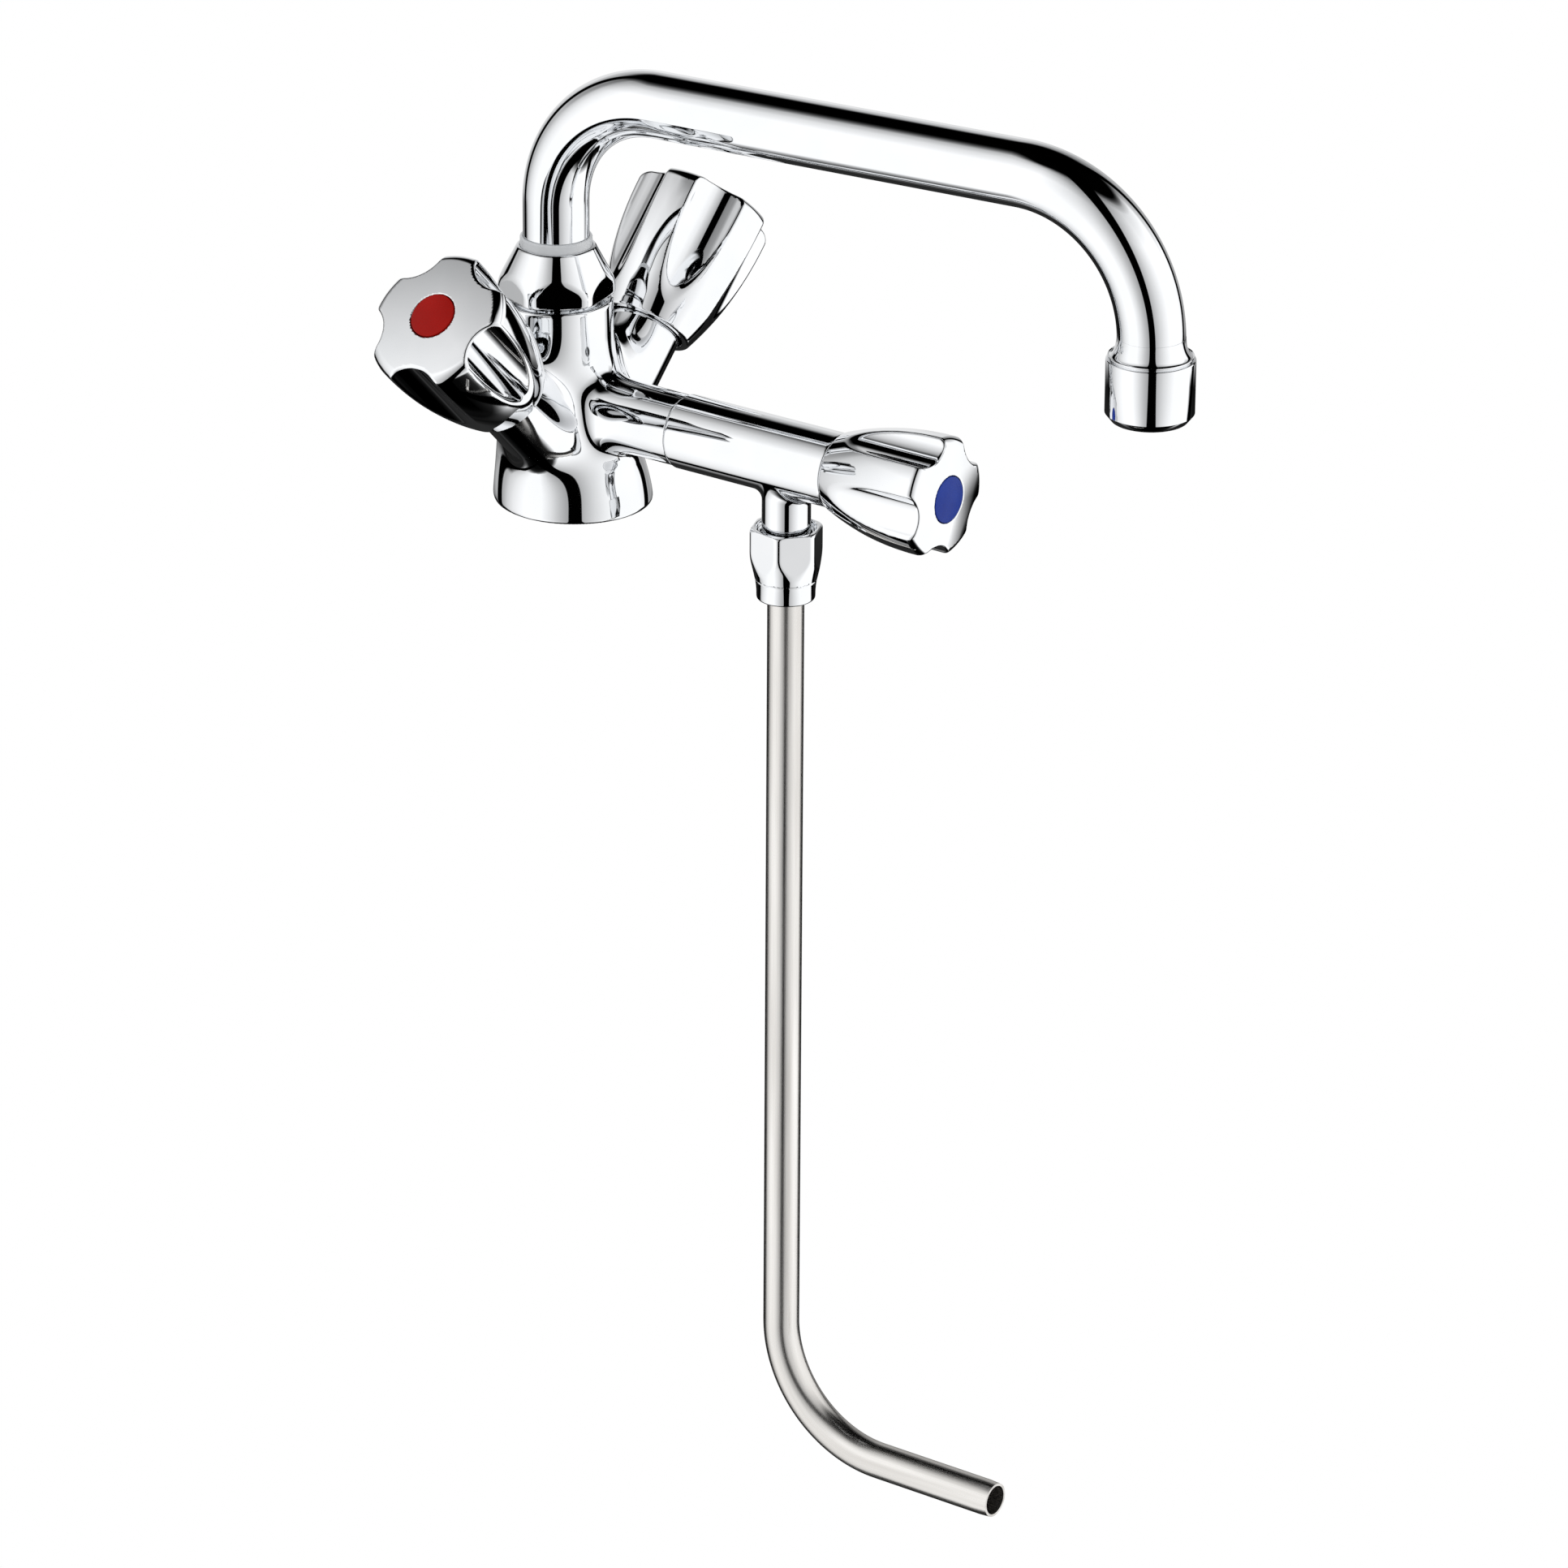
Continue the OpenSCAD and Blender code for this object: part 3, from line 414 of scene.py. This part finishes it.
def buildStudio(s):
    world = bpy.data.worlds.new("studio")
    bpy.context.scene.world = world
    world.use_nodes = True
    tree = world.node_tree
    tree.nodes.clear()
    ray = addNode(tree, "ShaderNodeTexCoord").outputs["Generated"]
    side = addNode(tree, "ShaderNodeVectorMath", {0: ray, 1: towardsRight}, operation="DOT_PRODUCT")
    side = side.outputs["Value"]
    front = addNode(tree, "ShaderNodeVectorMath", {0: ray, 1: towardsCamera}, operation="DOT_PRODUCT")
    front = front.outputs["Value"]
    height = addNode(tree, "ShaderNodeSeparateXYZ", {0: ray}).outputs["Z"]
    turn = addNode(tree, "ShaderNodeMath", {0: side, 1: front}, operation="ARCTAN2").outputs[0]
    bearing = addNode(tree, "ShaderNodeMath", {0: turn}, operation="DEGREES").outputs[0]
    slope = addNode(tree, "ShaderNodeMath", {0: height}, operation="ARCSINE").outputs[0]
    rise = addNode(tree, "ShaderNodeMath", {0: slope}, operation="DEGREES").outputs[0]
    # the seams lean towards the back as they climb
    leaning = {0: rise, 1: s["seamLean"], 2: s["seamAt"]}
    seamLine = addNode(tree, "ShaderNodeMath", leaning, operation="MULTIPLY_ADD").outputs[0]
    wide = addNode(tree, "ShaderNodeMath", {0: bearing}, operation="ABSOLUTE").outputs[0]
    seamOff = addNode(tree, "ShaderNodeMath", {0: wide, 1: seamLine}, operation="SUBTRACT").outputs[0]
    seamOff = addNode(tree, "ShaderNodeMath", {0: seamOff}, operation="ABSOLUTE").outputs[0]
    seam = shownAlong(tree, seamOff, [(s["seamHalf"], s["black"]), (s["seamHalf"] + s["seamEdge"], 1.0)])
    slotOff = addNode(tree, "ShaderNodeMath", {0: side, 1: s["slotAt"]}, operation="SUBTRACT").outputs[0]
    slotOff = addNode(tree, "ShaderNodeMath", {0: slotOff}, operation="ABSOLUTE").outputs[0]
    slot = shownAlong(tree, slotOff, [(s["slotHalf"], s["black"]), (s["slotHalf"] + s["slotEdge"], 1.0)])
    inFront = shownAlong(tree, front, [(s["slotFrom"], 0.0), (s["slotFull"], 1.0)])
    slot = addNode(tree, "ShaderNodeMix", {0: inFront, 2: 1.0, 3: slot}).outputs[0]
    behind = shownAlong(tree, front, [(s["rearFull"], 1.0), (s["rearFrom"], 0.0)])
    rear = shownAlong(tree, height, s["rear"])
    rear = addNode(tree, "ShaderNodeMix", {0: behind, 2: 1.0, 3: rear}).outputs[0]
    # the black roof panel leans back and stops short of the left side
    tilted = {0: front, 1: -s["roofLean"], 2: height}
    over = addNode(tree, "ShaderNodeMath", tilted, operation="MULTIPLY_ADD").outputs[0]
    roof = shownAlong(tree, over, s["roof"])
    panel = shownAlong(tree, side, [(s["roofLeft"], 0.0), (s["roofLeft"] + s["roofLeftEdge"], 1.0)])
    roof = addNode(tree, "ShaderNodeMix", {0: panel, 2: 1.0, 3: roof}).outputs[0]
    ceiling = shownAlong(tree, height, s["ceiling"])
    table = shownAlong(tree, height, s["table"])
    glow = shownAlong(tree, bearing, s["bearing"])
    for part in (roof, ceiling, table, rear, seam, slot):
        glow = addNode(tree, "ShaderNodeMath", {0: glow, 1: part}, operation="MULTIPLY").outputs[0]
    light = addNode(tree, "ShaderNodeMath", {0: glow, 1: s["response"]}, operation="POWER").outputs[0]
    light = addNode(tree, "ShaderNodeMath", {0: light, 1: s["gain"]}, operation="MULTIPLY").outputs[0]
    path = addNode(tree, "ShaderNodeLightPath")
    soft, direct = path.outputs["Is Diffuse Ray"], path.outputs["Is Camera Ray"]
    lit = addNode(tree, "ShaderNodeMix", {0: soft, 2: light, 3: s["fill"]}).outputs[0]
    seen = addNode(tree, "ShaderNodeMix", {0: direct, 2: lit, 3: 1.0}).outputs[0]
    back = addNode(tree, "ShaderNodeBackground", {"Color": (1, 1, 1, 1), "Strength": seen})
    addNode(tree, "ShaderNodeOutputWorld", {"Surface": back.outputs[0]})


buildStudio(studio)
ground = {"gap": 4.0, "radius": 3000.0}


def layFloor(g):
    low = cadBox[0][2] / mm - g["gap"]
    verts, faces = turned([(0, 0), (g["radius"], 0)], (0, 0, low), (0, 0, 1), 64)
    mesh = bpy.data.meshes.new("floor")
    mesh.from_pydata((verts * mm).tolist(), [], [tuple(reversed(f)) for f in faces])
    material = bpy.data.materials.new("paleFloor")
    material.use_nodes = True
    tree = material.node_tree
    tree.nodes.clear()
    # the camera sees white from above and nothing from below
    direct = addNode(tree, "ShaderNodeLightPath").outputs["Is Camera Ray"]
    paint = addNode(tree, "ShaderNodeBsdfDiffuse", {"Color": linear("E6E6E6")}).outputs[0]
    white = addNode(tree, "ShaderNodeEmission", {"Color": (1, 1, 1, 1), "Strength": 1.0}).outputs[0]
    top = addNode(tree, "ShaderNodeMixShader", {0: direct, 1: paint, 2: white}).outputs[0]
    clear = addNode(tree, "ShaderNodeBsdfTransparent").outputs[0]
    under = addNode(tree, "ShaderNodeNewGeometry").outputs["Backfacing"]
    both = addNode(tree, "ShaderNodeMixShader", {0: under, 1: top, 2: clear}).outputs[0]
    addNode(tree, "ShaderNodeOutputMaterial", {"Surface": both})
    mesh.materials.append(material)
    floor = bpy.data.objects.new("floor", mesh)
    floor.visible_glossy = False
    bpy.context.scene.collection.objects.link(floor)


layFloor(ground)
bpy.context.scene.view_settings.view_transform = "Standard"
print("camera and studio ready")

# the forked casting: bell foot, column, two leaning branches and a side arm, all one piece
casting = {
    "baseR": 21.3, "baseH": 16.0, "bell": 4.0, "bellPower": 1.6, "footMiddle": 11.0, "footEdge": 1.5,
    "footTop": 3.0, "footRound": 6.0, "columnX": -6.0, "columnFootR": 16.8, "columnFrom": 1.2,
    "columnR": 15.4, "columnH": 57.0, "columnEdge": 1.0, "neckR": 12.0, "neckTop": 65.0, "boreR": 10.0,
    "boreFloor": 32.95, "branchZ": 8.9, "branchL": 48.5, "branchR": 10.2, "armZ": 28.0, "armR": 9.8,
    "armEnd": 37.5, "waist": 6.0, "crotch": 13.0, "branchFoot": 9.0, "blendFrom": 14.0, "blendTo": 30.0,
    "armFillet": 11.0, "edge": 0.5, "underEdge": 0.6, "chamberR": 8.0, "chamber": 19.5, "socketR": 7.52,
    "socketFrom": 27.5, "inletX": -2.0, "inletGap": 15.0, "inletR": 4.5, "inletDeep": 12.0,
    "studX": 10.5, "studR": 3.4, "studDeep": 14.0, "sealR": 18.3, "sealW": 3.0, "sealDepth": 2.0,
}
lean = math.sqrt(0.5)
spread, climb = lean * casting["branchL"], casting["branchZ"] + lean * casting["branchL"]
valveAxes = {
    "hot": ((0, -spread, climb), (0, -lean, lean)),
    "cold": ((0, spread, climb), (0, lean, lean)),
    "side": ((89.2, 0, casting["armZ"]), (1, 0, 0)),
}


def castingField(p):
    c = casting
    up = (0, 0, 1)
    columnFoot = (c["columnX"], 0, 0)
    z, rad = along(p, (0, 0, 0), up)
    # the base swells like a bell, and its distance is scaled by the bell's slope
    power, top = c["bellPower"], c["baseH"] + c["footTop"]
    bell = c["baseR"] - c["bell"] * (np.clip(z, 0, top) / c["baseH"]) ** power
    steep = power * c["bell"] / c["baseH"] * (np.clip(z, 0.01, 30) / c["baseH"]) ** (power - 1)
    slope = np.where((z > 0) & (z < top), steep, 0)
    middle = c["footMiddle"]
    foot = roundMax((rad - bell) / np.hypot(1, slope), np.abs(z - middle) - middle, c["footEdge"])
    foot = roundMax(foot, z - c["baseH"] - c["footTop"], c["footRound"])
    column = cone(p, columnFoot, up, c["columnFootR"], c["columnR"], c["columnFrom"], c["columnH"],
                  c["columnEdge"])
    hot, cold = (rod(p, (0, 0, c["branchZ"]), (0, s, 1), c["branchR"], -4, c["branchL"], c["edge"])
                 for s in (-1, 1))
    d = melt(column, foot, c["waist"])
    reach = np.interp(z, [c["blendFrom"], c["blendTo"]], [c["branchFoot"], c["crotch"]])
    d = melt(d, np.minimum(hot, cold), reach)
    arm = rod(p, (c["columnX"], 0, c["armZ"]), (1, 0, 0), c["armR"], 0, c["armEnd"] - c["columnX"], 0.35)
    d = melt(d, arm, c["armFillet"])
    d = roundMax(d, -z, c["underEdge"])
    d = roundMin(d, rod(p, columnFoot, up, c["neckR"], 40, c["neckTop"], 0.6), 0.3)
    # hollows: spout bore, valve chambers, side socket, supply inlets, stud hole and seal groove
    holes = rod(p, columnFoot, up, c["boreR"], c["boreFloor"], 80, 0.3)
    for name in ("hot", "cold"):
        start, axis = valveAxes[name]
        holes = np.minimum(holes, rod(p, start, axis, c["chamberR"], -c["chamber"], 5, 0.3))
    holes = np.minimum(holes, rod(p, (0, 0, c["armZ"]), (1, 0, 0), c["socketR"], c["socketFrom"], 50, 0.3))
    for s in (-1, 1):
        inlet = (c["inletX"], s * c["inletGap"] / 2, 0)
        holes = np.minimum(holes, rod(p, inlet, up, c["inletR"], -5, c["inletDeep"], 0.3))
    holes = np.minimum(holes, rod(p, (c["studX"], 0, 0), up, c["studR"], -5, c["studDeep"], 0.3))
    groove = roundMax(np.abs(rad - c["sealR"] + c["sealW"] / 2) - c["sealW"] / 2, z - c["sealDepth"], 0.2)
    return roundMax(d, -np.minimum(holes, groove), 0.35)


verts, faces, normals = skinOf(castingField, (-25, -48, -1.2), (39.5, 48, 66.6), 0.6)
piece = addPiece("tapCasting", verts, faces, "tap", chromePlatedCasting, "chrome", normals)
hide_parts("body")
print("casting", len(faces))

# the swivel spout: one tube with a close bend over the column and a wider one at the outlet
spout = {
    "columnX": -6.0, "turn": 6.0, "reach": 181.0, "height": 116.5, "nearR": 32.0, "farR": 39.0, "tubeR": 9.0,
    "wall": 1.0, "tubeFoot": 52.45, "tubeEnd": 68.0,
}
spoutWay = np.array([math.cos(math.radians(spout["turn"])), math.sin(math.radians(spout["turn"])), 0])
spoutFoot = np.array([spout["columnX"], 0, 0.0])
outletFoot = spoutFoot + spoutWay * spout["reach"]


def spoutPath(s):
    up = np.array([0, 0, 1.0])
    place = lambda a, z: spoutFoot + spoutWay * a + up * z
    points = [place(0, z) for z in np.linspace(s["tubeFoot"], s["height"] - s["nearR"], 12)]
    for t in np.radians(np.linspace(2, 90, 45)):
        points.append(place(s["nearR"] * (1 - math.cos(t)), s["height"] - s["nearR"] * (1 - math.sin(t))))
    points += [place(a, s["height"]) for a in np.linspace(s["nearR"], s["reach"] - s["farR"], 30)[1:]]
    for t in np.radians(np.linspace(2, 90, 45)):
        ahead = s["reach"] - s["farR"] * (1 - math.sin(t))
        points.append(place(ahead, s["height"] - s["farR"] * (1 - math.cos(t))))
    return points + [place(s["reach"], z) for z in np.linspace(s["height"] - s["farR"], s["tubeEnd"], 4)[1:]]


across = np.cross(spoutWay, [0, 0, 1])
verts, faces, uv = tube(spoutPath(spout), across, spout["tubeR"], spout["tubeR"] - spout["wall"], 96)
piece = addPiece("spoutTube", verts, faces, "spout", chromePlatedBrass, "chrome", uv=uv)
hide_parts("spout_tube")

# bearing collar round the foot of the spout; the nut holds its flange down
collar = {"boreR": 9.05, "flangeR": 10.9, "lipR": 9.8, "foot": 67.5, "shoulder": 68.95, "top": 74.6,
          "edge": 0.5, "boreEdge": 0.15}


def collarOutline(c):
    e, b = c["edge"], c["boreEdge"]
    flange = [(c["boreR"], c["foot"]), (c["flangeR"], c["foot"]), (c["flangeR"], c["shoulder"])]
    lip = [(c["lipR"], c["shoulder"])] + arcPoints(c["lipR"] - e, c["top"] - e, e, 0, 90)
    return flange + lip + arcPoints(c["boreR"] + b, c["top"] - b, b, 90, 180, 3)


verts, faces = turned(collarOutline(collar), spoutFoot, (0, 0, 1))
piece = addPiece("spoutCollar", verts, faces, "tap", greyAcetal, "grey_plastic")
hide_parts("spout_collar")

# domed hexagon nut over the neck of the column
spoutNut = {
    "foot": 58.0, "top": 72.0, "bodyR": 16.0, "topR": 10.6, "coneFrom": 61.6, "flat": 14.25,
    "flatTurn": -50.0, "footEdge": 0.9, "shoulderEdge": 0.8, "edge": 0.5, "boreR": 12.02, "boreTop": 65.0,
    "flangeR": 11.1, "shoulder": 69.0, "mouthR": 9.85,
}


def spoutNutField(p):
    c = spoutNut
    up = (0, 0, 1)
    z, rad = along(p, spoutFoot, up)
    slope = (c["bodyR"] - c["topR"]) / (c["top"] - c["coneFrom"])
    shoulder = (rad - c["bodyR"] + slope * (z - c["coneFrom"])) / math.hypot(1, slope)
    d = roundMax(rad - c["bodyR"], shoulder, c["shoulderEdge"])
    d = roundMax(d, z - c["top"], 0.5)
    d = roundMax(d, c["foot"] - z, c["footEdge"])
    for k in range(6):
        a = math.radians(c["flatTurn"] + 60 * k)
        d = roundMax(d, (p - spoutFoot) @ np.array([math.cos(a), math.sin(a), 0]) - c["flat"], c["edge"])
    hole = rod(p, spoutFoot, up, c["boreR"], 40, c["boreTop"], 0.2)
    hole = np.minimum(hole, rod(p, spoutFoot, up, c["flangeR"], 60, c["shoulder"], 0.2))
    hole = np.minimum(hole, rod(p, spoutFoot, up, c["mouthR"], 60, 80, 0.2))
    return roundMax(d, -hole, 0.25)


low, high = spoutFoot + [-17.5, -17.5, 57.2], spoutFoot + [17.5, 17.5, 72.9]
verts, faces, normals = skinOf(spoutNutField, low, high, 0.36)
piece = addPiece("spoutNut", verts, faces, "tap", chromePlatedBrass, "chrome", normals)
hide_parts("spout_nut")
print("spout nut", len(faces))

# flared end of the spout, and the aerator housing that screws over it
outlet = {
    "top": 73.0, "gap": 0.4, "flareH": 5.4, "flareR": 11.35, "flareEdge": 0.25, "neckR": 9.05,
    "threadR": 10.95, "threadFoot": 64.0, "tubeR": 9.02, "tubeEnd": 68.0, "boreR": 8.0, "housingR": 11.8,
    "housingFoot": 56.0, "lip": 1.6, "mouthR": 9.5, "bevelH": 2.2, "bevelW": 1.65,
}


def outletOutline(c):
    foot, e = c["top"] + c["gap"], c["flareEdge"]
    spread, rise = c["flareR"] - e - c["neckR"], c["flareH"] - e
    curve = [(c["neckR"] + spread * (1 - math.sin(t)), foot + e + rise * (1 - math.cos(t)))
             for t in np.linspace(0.06, math.pi / 2, 14)]
    thread = [(c["boreR"], c["threadFoot"]), (c["threadR"], c["threadFoot"]), (c["threadR"], foot)]
    tail = [(c["tubeR"], foot + c["flareH"]), (c["tubeR"], c["tubeEnd"]), (c["boreR"], c["tubeEnd"])]
    return thread + arcPoints(c["flareR"] - e, foot + e, e, -90, 60, 4) + curve + tail


verts, faces = turned(outletOutline(outlet), outletFoot, (0, 0, 1))
piece = addPiece("outletEnd", verts, faces, "spout", chromePlatedBrass, "chrome")
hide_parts("outlet_end")


def housingOutline(c):
    r, foot, top, inner = c["housingR"], c["housingFoot"], c["top"], c["threadR"] + 0.02
    bevel = [(r - c["bevelW"] - 0.15, foot), (r - c["bevelW"], foot + 0.1),
             (r - 0.05, foot + c["bevelH"] - 0.1), (r, foot + c["bevelH"])]
    bore = [(inner, top), (inner, foot + c["lip"]), (c["mouthR"], foot + c["lip"])]
    return (bevel + arcPoints(r - 0.5, top - 0.5, 0.5, 0, 90, 5) + bore
            + arcPoints(c["mouthR"] + 0.3, foot + 0.3, 0.3, 180, 270, 4))


verts, faces = turned(housingOutline(outlet), outletFoot, (0, 0, 1))
piece = addPiece("aeratorHousing", verts, faces, "spout", chromePlatedBrass, "chrome")
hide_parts("aerator_housing")
print("spout made")

# turned valve body in the end of the side arm, with a stub for the down-pipe
sideValve = {
    "from": 37.5, "to": 89.2, "r": 10.2, "z": 28.0, "edge": 0.7, "spigotR": 7.5, "spigotFrom": 29.0,
    "stubX": 71.3, "stubR": 6.6, "stubFoot": 5.4, "stubFillet": 2.2, "threadR": 7.0, "threadFoot": -5.47,
    "feedR": 4.0, "waterR": 3.4, "pipeR": 5.05, "pipeSeat": 2.53, "chamberR": 8.0, "chamber": 19.5,
}


def sideValveField(p):
    c = sideValve
    way, up = (1, 0, 0), (0, 0, 1)
    middle, stub = (0, 0, c["z"]), (c["stubX"], 0, 0)
    d = rod(p, middle, way, c["r"], c["from"], c["to"], c["edge"])
    d = roundMin(d, rod(p, stub, up, c["stubR"], c["stubFoot"], c["z"], 0.2), c["stubFillet"])
    d = np.minimum(d, rod(p, middle, way, c["spigotR"], c["spigotFrom"], c["from"] + 2, 0.3))
    d = np.minimum(d, rod(p, stub, up, c["threadR"], c["threadFoot"], c["stubFoot"], 0.3))
    floor = c["to"] - c["chamber"]
    hole = rod(p, middle, way, c["chamberR"], floor, 99, 0.3)
    hole = np.minimum(hole, rod(p, middle, way, c["feedR"], 20, floor + 2, 0.2))
    hole = np.minimum(hole, rod(p, stub, up, c["waterR"], -2, c["z"] - 2, 0.2))
    hole = np.minimum(hole, rod(p, stub, up, c["pipeR"], -9, c["pipeSeat"], 0.2))
    return roundMax(d, -hole, 0.3)


verts, faces, normals = skinOf(sideValveField, (28, -11.4, -6.6), (90.4, 11.4, 39.4), 0.52)
piece = addPiece("sideValveBody", verts, faces, "tap", chromePlatedCasting, "chrome", normals)
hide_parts("side_valve_body")
print("side valve", len(faces))

# hexagon compression nut that tapers to a round collar
pipeNut = {
    "x": 71.3, "top": 8.4, "foot": -12.0, "flat": 9.0, "flatTurn": -38.0, "edge": 0.25, "topEdge": 0.9,
    "profile": [(8.4, 10.1), (0.8, 10.1), (-3.2, 9.1), (-6.3, 8.4), (-8.5, 8.0), (-12.0, 7.9)],
    "seamZ": -6.3, "seamR": 0.18, "footEdge": 0.7, "recessR": 8.2, "recess": 1.5, "threadR": 7.02,
    "threadFoot": -9.5, "pipeR": 5.05,
}


def pipeNutField(p):
    c = pipeNut
    up, foot = (0, 0, 1), (c["x"], 0, 0)
    z, rad = along(p, foot, up)
    heights, radii = zip(*reversed(c["profile"]))
    smooth = sum(np.interp(z + o, heights, radii) for o in (-1.2, -0.6, 0, 0.6, 1.2)) / 5
    d = (rad - smooth) * 0.97
    d = roundMax(d, z - c["top"], c["topEdge"])
    d = roundMax(d, c["foot"] - z, c["footEdge"])
    for k in range(6):
        a = math.radians(c["flatTurn"] + 60 * k)
        d = roundMax(d, (p[:, 0] - c["x"]) * math.cos(a) + p[:, 1] * math.sin(a) - c["flat"], c["edge"])
    # the seam where the separate collar ring meets the nut
    d = np.maximum(d, c["seamR"] - np.hypot(rad - smooth, z - c["seamZ"]))
    hole = rod(p, foot, up, c["threadR"], c["threadFoot"], 20, 0.2)
    hole = np.minimum(hole, rod(p, foot, up, c["recessR"], c["top"] - c["recess"], 20, 0.2))
    hole = np.minimum(hole, rod(p, foot, up, c["pipeR"], -20, 0, 0.2))
    return roundMax(d, -hole, 0.3)


verts, faces, normals = skinOf(pipeNutField, (60, -11.3, -12.8), (82.6, 11.3, 9.2), 0.33)
piece = addPiece("compressionNut", verts, faces, "tap", chromePlatedBrass, "chrome", normals)
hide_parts("compression_nut")
print("compression nut", len(faces))

# long down-pipe with one bend; depth is from the deck to the axis of its straight end
downPipe = {"x": 71.3, "top": 2.53, "depth": 261.3, "bendR": 34.0, "end": 144.5, "r": 5.0, "wall": 1.0}


def pipePath(c):
    x, r, depth = c["x"], c["bendR"], c["depth"]
    points = [(x, 0, z) for z in np.linspace(c["top"], r - depth, 60)]
    for t in np.radians(np.linspace(2, 90, 45)):
        points.append((x + r * (1 - math.cos(t)), 0, r * (1 - math.sin(t)) - depth))
    return points + [(far, 0, -depth) for far in np.linspace(x + r, c["end"], 12)[1:]]


boreR = downPipe["r"] - downPipe["wall"]
verts, faces, uv = tube(pipePath(downPipe), (0, 1, 0), downPipe["r"], boreR, 72, 0.2)
piece = addPiece("downPipe", verts, faces, "tap", drawnStainless, "stainless", uv=uv)
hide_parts("outlet_pipe")
print("pipe made")

# lobed handle; share scales the smaller one on the side valve, and phase is its turn in degrees
handle = {
    "length": 42.9, "lobeR": 19.75, "mouthR": 12.9, "bellyAt": 36.5, "dome": 1.2, "domeR": 18.0,
    "faceDrop": 1.35, "shoulder": 2.6, "lobes": 5, "fluteOut": 24.6, "fluteR": 9.3, "fluteEdge": 0.8,
    "lip": 0.5, "indexR": 6.42, "indexDeep": 3.6, "indexDrop": 0.7,
    "hollow": [(8.8, 7.0), (7.0, 14.6)], "screwR": 2.15, "headR": 3.7, "headFrom": 27.5,
    "phase": {"hot": 24.0, "cold": 61.0, "side": 22.0},
    "mouthAt": {"hot": -3.7, "cold": -3.7, "side": 0.3},
    "share": {"hot": 1.0, "cold": 1.0, "side": 0.84},
    "mouthBore": {"hot": 11.0, "cold": 11.0, "side": 9.35},
}
# index button, slightly domed
button = {"r": 6.26, "height": 3.4, "dome": 0.6, "edge": 0.25}


def handleFrame(name):
    start, axis = valveAxes[name]
    w = unit(axis)
    if name == "side":
        u, v = np.array([0, 0, -1.0]), np.array([0, 1.0, 0])
    else:
        u = np.array([1.0, 0, 0])
        v = np.cross(w, u)
    return np.asarray(start, float), u, v, w


def handleField(name):
    h = handle
    start, u, v, w = handleFrame(name)
    size, mouth = h["share"][name], h["mouthAt"][name]
    drop = h["lobeR"] - h["mouthR"]
    belly = (h["bellyAt"] ** 2 + drop ** 2) / (2 * drop)  # radius of the arc from mouth to widest part

    def field(p):
        q = p - start
        deep = q @ w
        a, b, t = q @ u / size, q @ v / size, (deep - mouth) / size
        rad = np.hypot(a, b)
        swell = np.hypot(rad - h["lobeR"] + belly, t - h["bellyAt"]) - belly
        side = np.where(t < h["bellyAt"], swell, rad - h["lobeR"])
        face = t - (h["length"] - h["faceDrop"]) + h["dome"] * (rad / h["domeR"]) ** 2
        d = roundMax(side, face, h["shoulder"])
        d = roundMax(d, -t, h["lip"])
        for k in range(h["lobes"]):
            g = math.radians(h["phase"][name] + (k + 0.5) * 360 / h["lobes"])
            off = np.hypot(a - h["fluteOut"] * math.cos(g), b - h["fluteOut"] * math.sin(g))
            d = roundMax(d, h["fluteR"] - off, h["fluteEdge"])
        d = d * size
        rad = rad * size
        hole = roundMax(rad - h["mouthBore"][name], deep - 4, 0.3)
        for radius, end in h["hollow"]:
            hole = np.minimum(hole, roundMax(rad - radius, deep - end, 0.3))
        hole = np.minimum(hole, rad - h["screwR"])
        hole = np.minimum(hole, roundMax(rad - h["headR"], h["headFrom"] - deep, 0.2))
        pocket = mouth + (h["length"] - 0.6) * size - h["indexDeep"]
        hole = np.minimum(hole, roundMax(rad - h["indexR"], pocket - deep, 0.2))
        return roundMax(d, -hole, 0.3)

    return field


def buttonOutline(b):
    r, e = b["r"], b["edge"]
    rim = b["height"] - b["dome"]
    ball = (r * r + b["dome"] ** 2) / 2 / b["dome"]  # radius of the domed top
    crown = [(x, rim + math.sqrt(ball * ball - x * x) - (ball - b["dome"]))
             for x in np.linspace(r - e, 0.4, 16)]
    corner = arcPoints(r - e, rim - e + 0.05, e, 0, 60, 4)[1:]
    return [(0, 0), (r - 0.2, 0), (r, 0.2), (r, rim - e * 0.3)] + corner + crown + [(0, b["height"])]


for name in ("hot", "cold", "side"):
    start, u, v, w = handleFrame(name)
    size, mouth = handle["share"][name], handle["mouthAt"][name]
    middle = start + w * (mouth + handle["length"] * size / 2)
    reach = np.abs(w) * handle["length"] * size / 2 + np.sqrt(1 - w * w) * handle["lobeR"] * size + 1.5
    verts, faces, normals = skinOf(handleField(name), middle - reach, middle + reach, 0.5 * size)
    piece = addPiece(name + "Handle", verts, faces, name + "_turning", chromePlatedCasting, "chrome",
                     normals)
    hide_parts(name + "_handle")
    seat = mouth + handle["length"] * size - button["height"] - handle["indexDrop"]
    verts, faces = turned(buttonOutline(button), start + w * seat, w, 96)
    dye, dyeSlot = (redAbs, "red_plastic") if name == "hot" else (blueAbs, "blue_plastic")
    piece = addPiece(name + "Index", verts, faces, name + "_turning", dye, dyeSlot, sharp=50)
    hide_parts(name + "_index")
    print(name, "handle made")
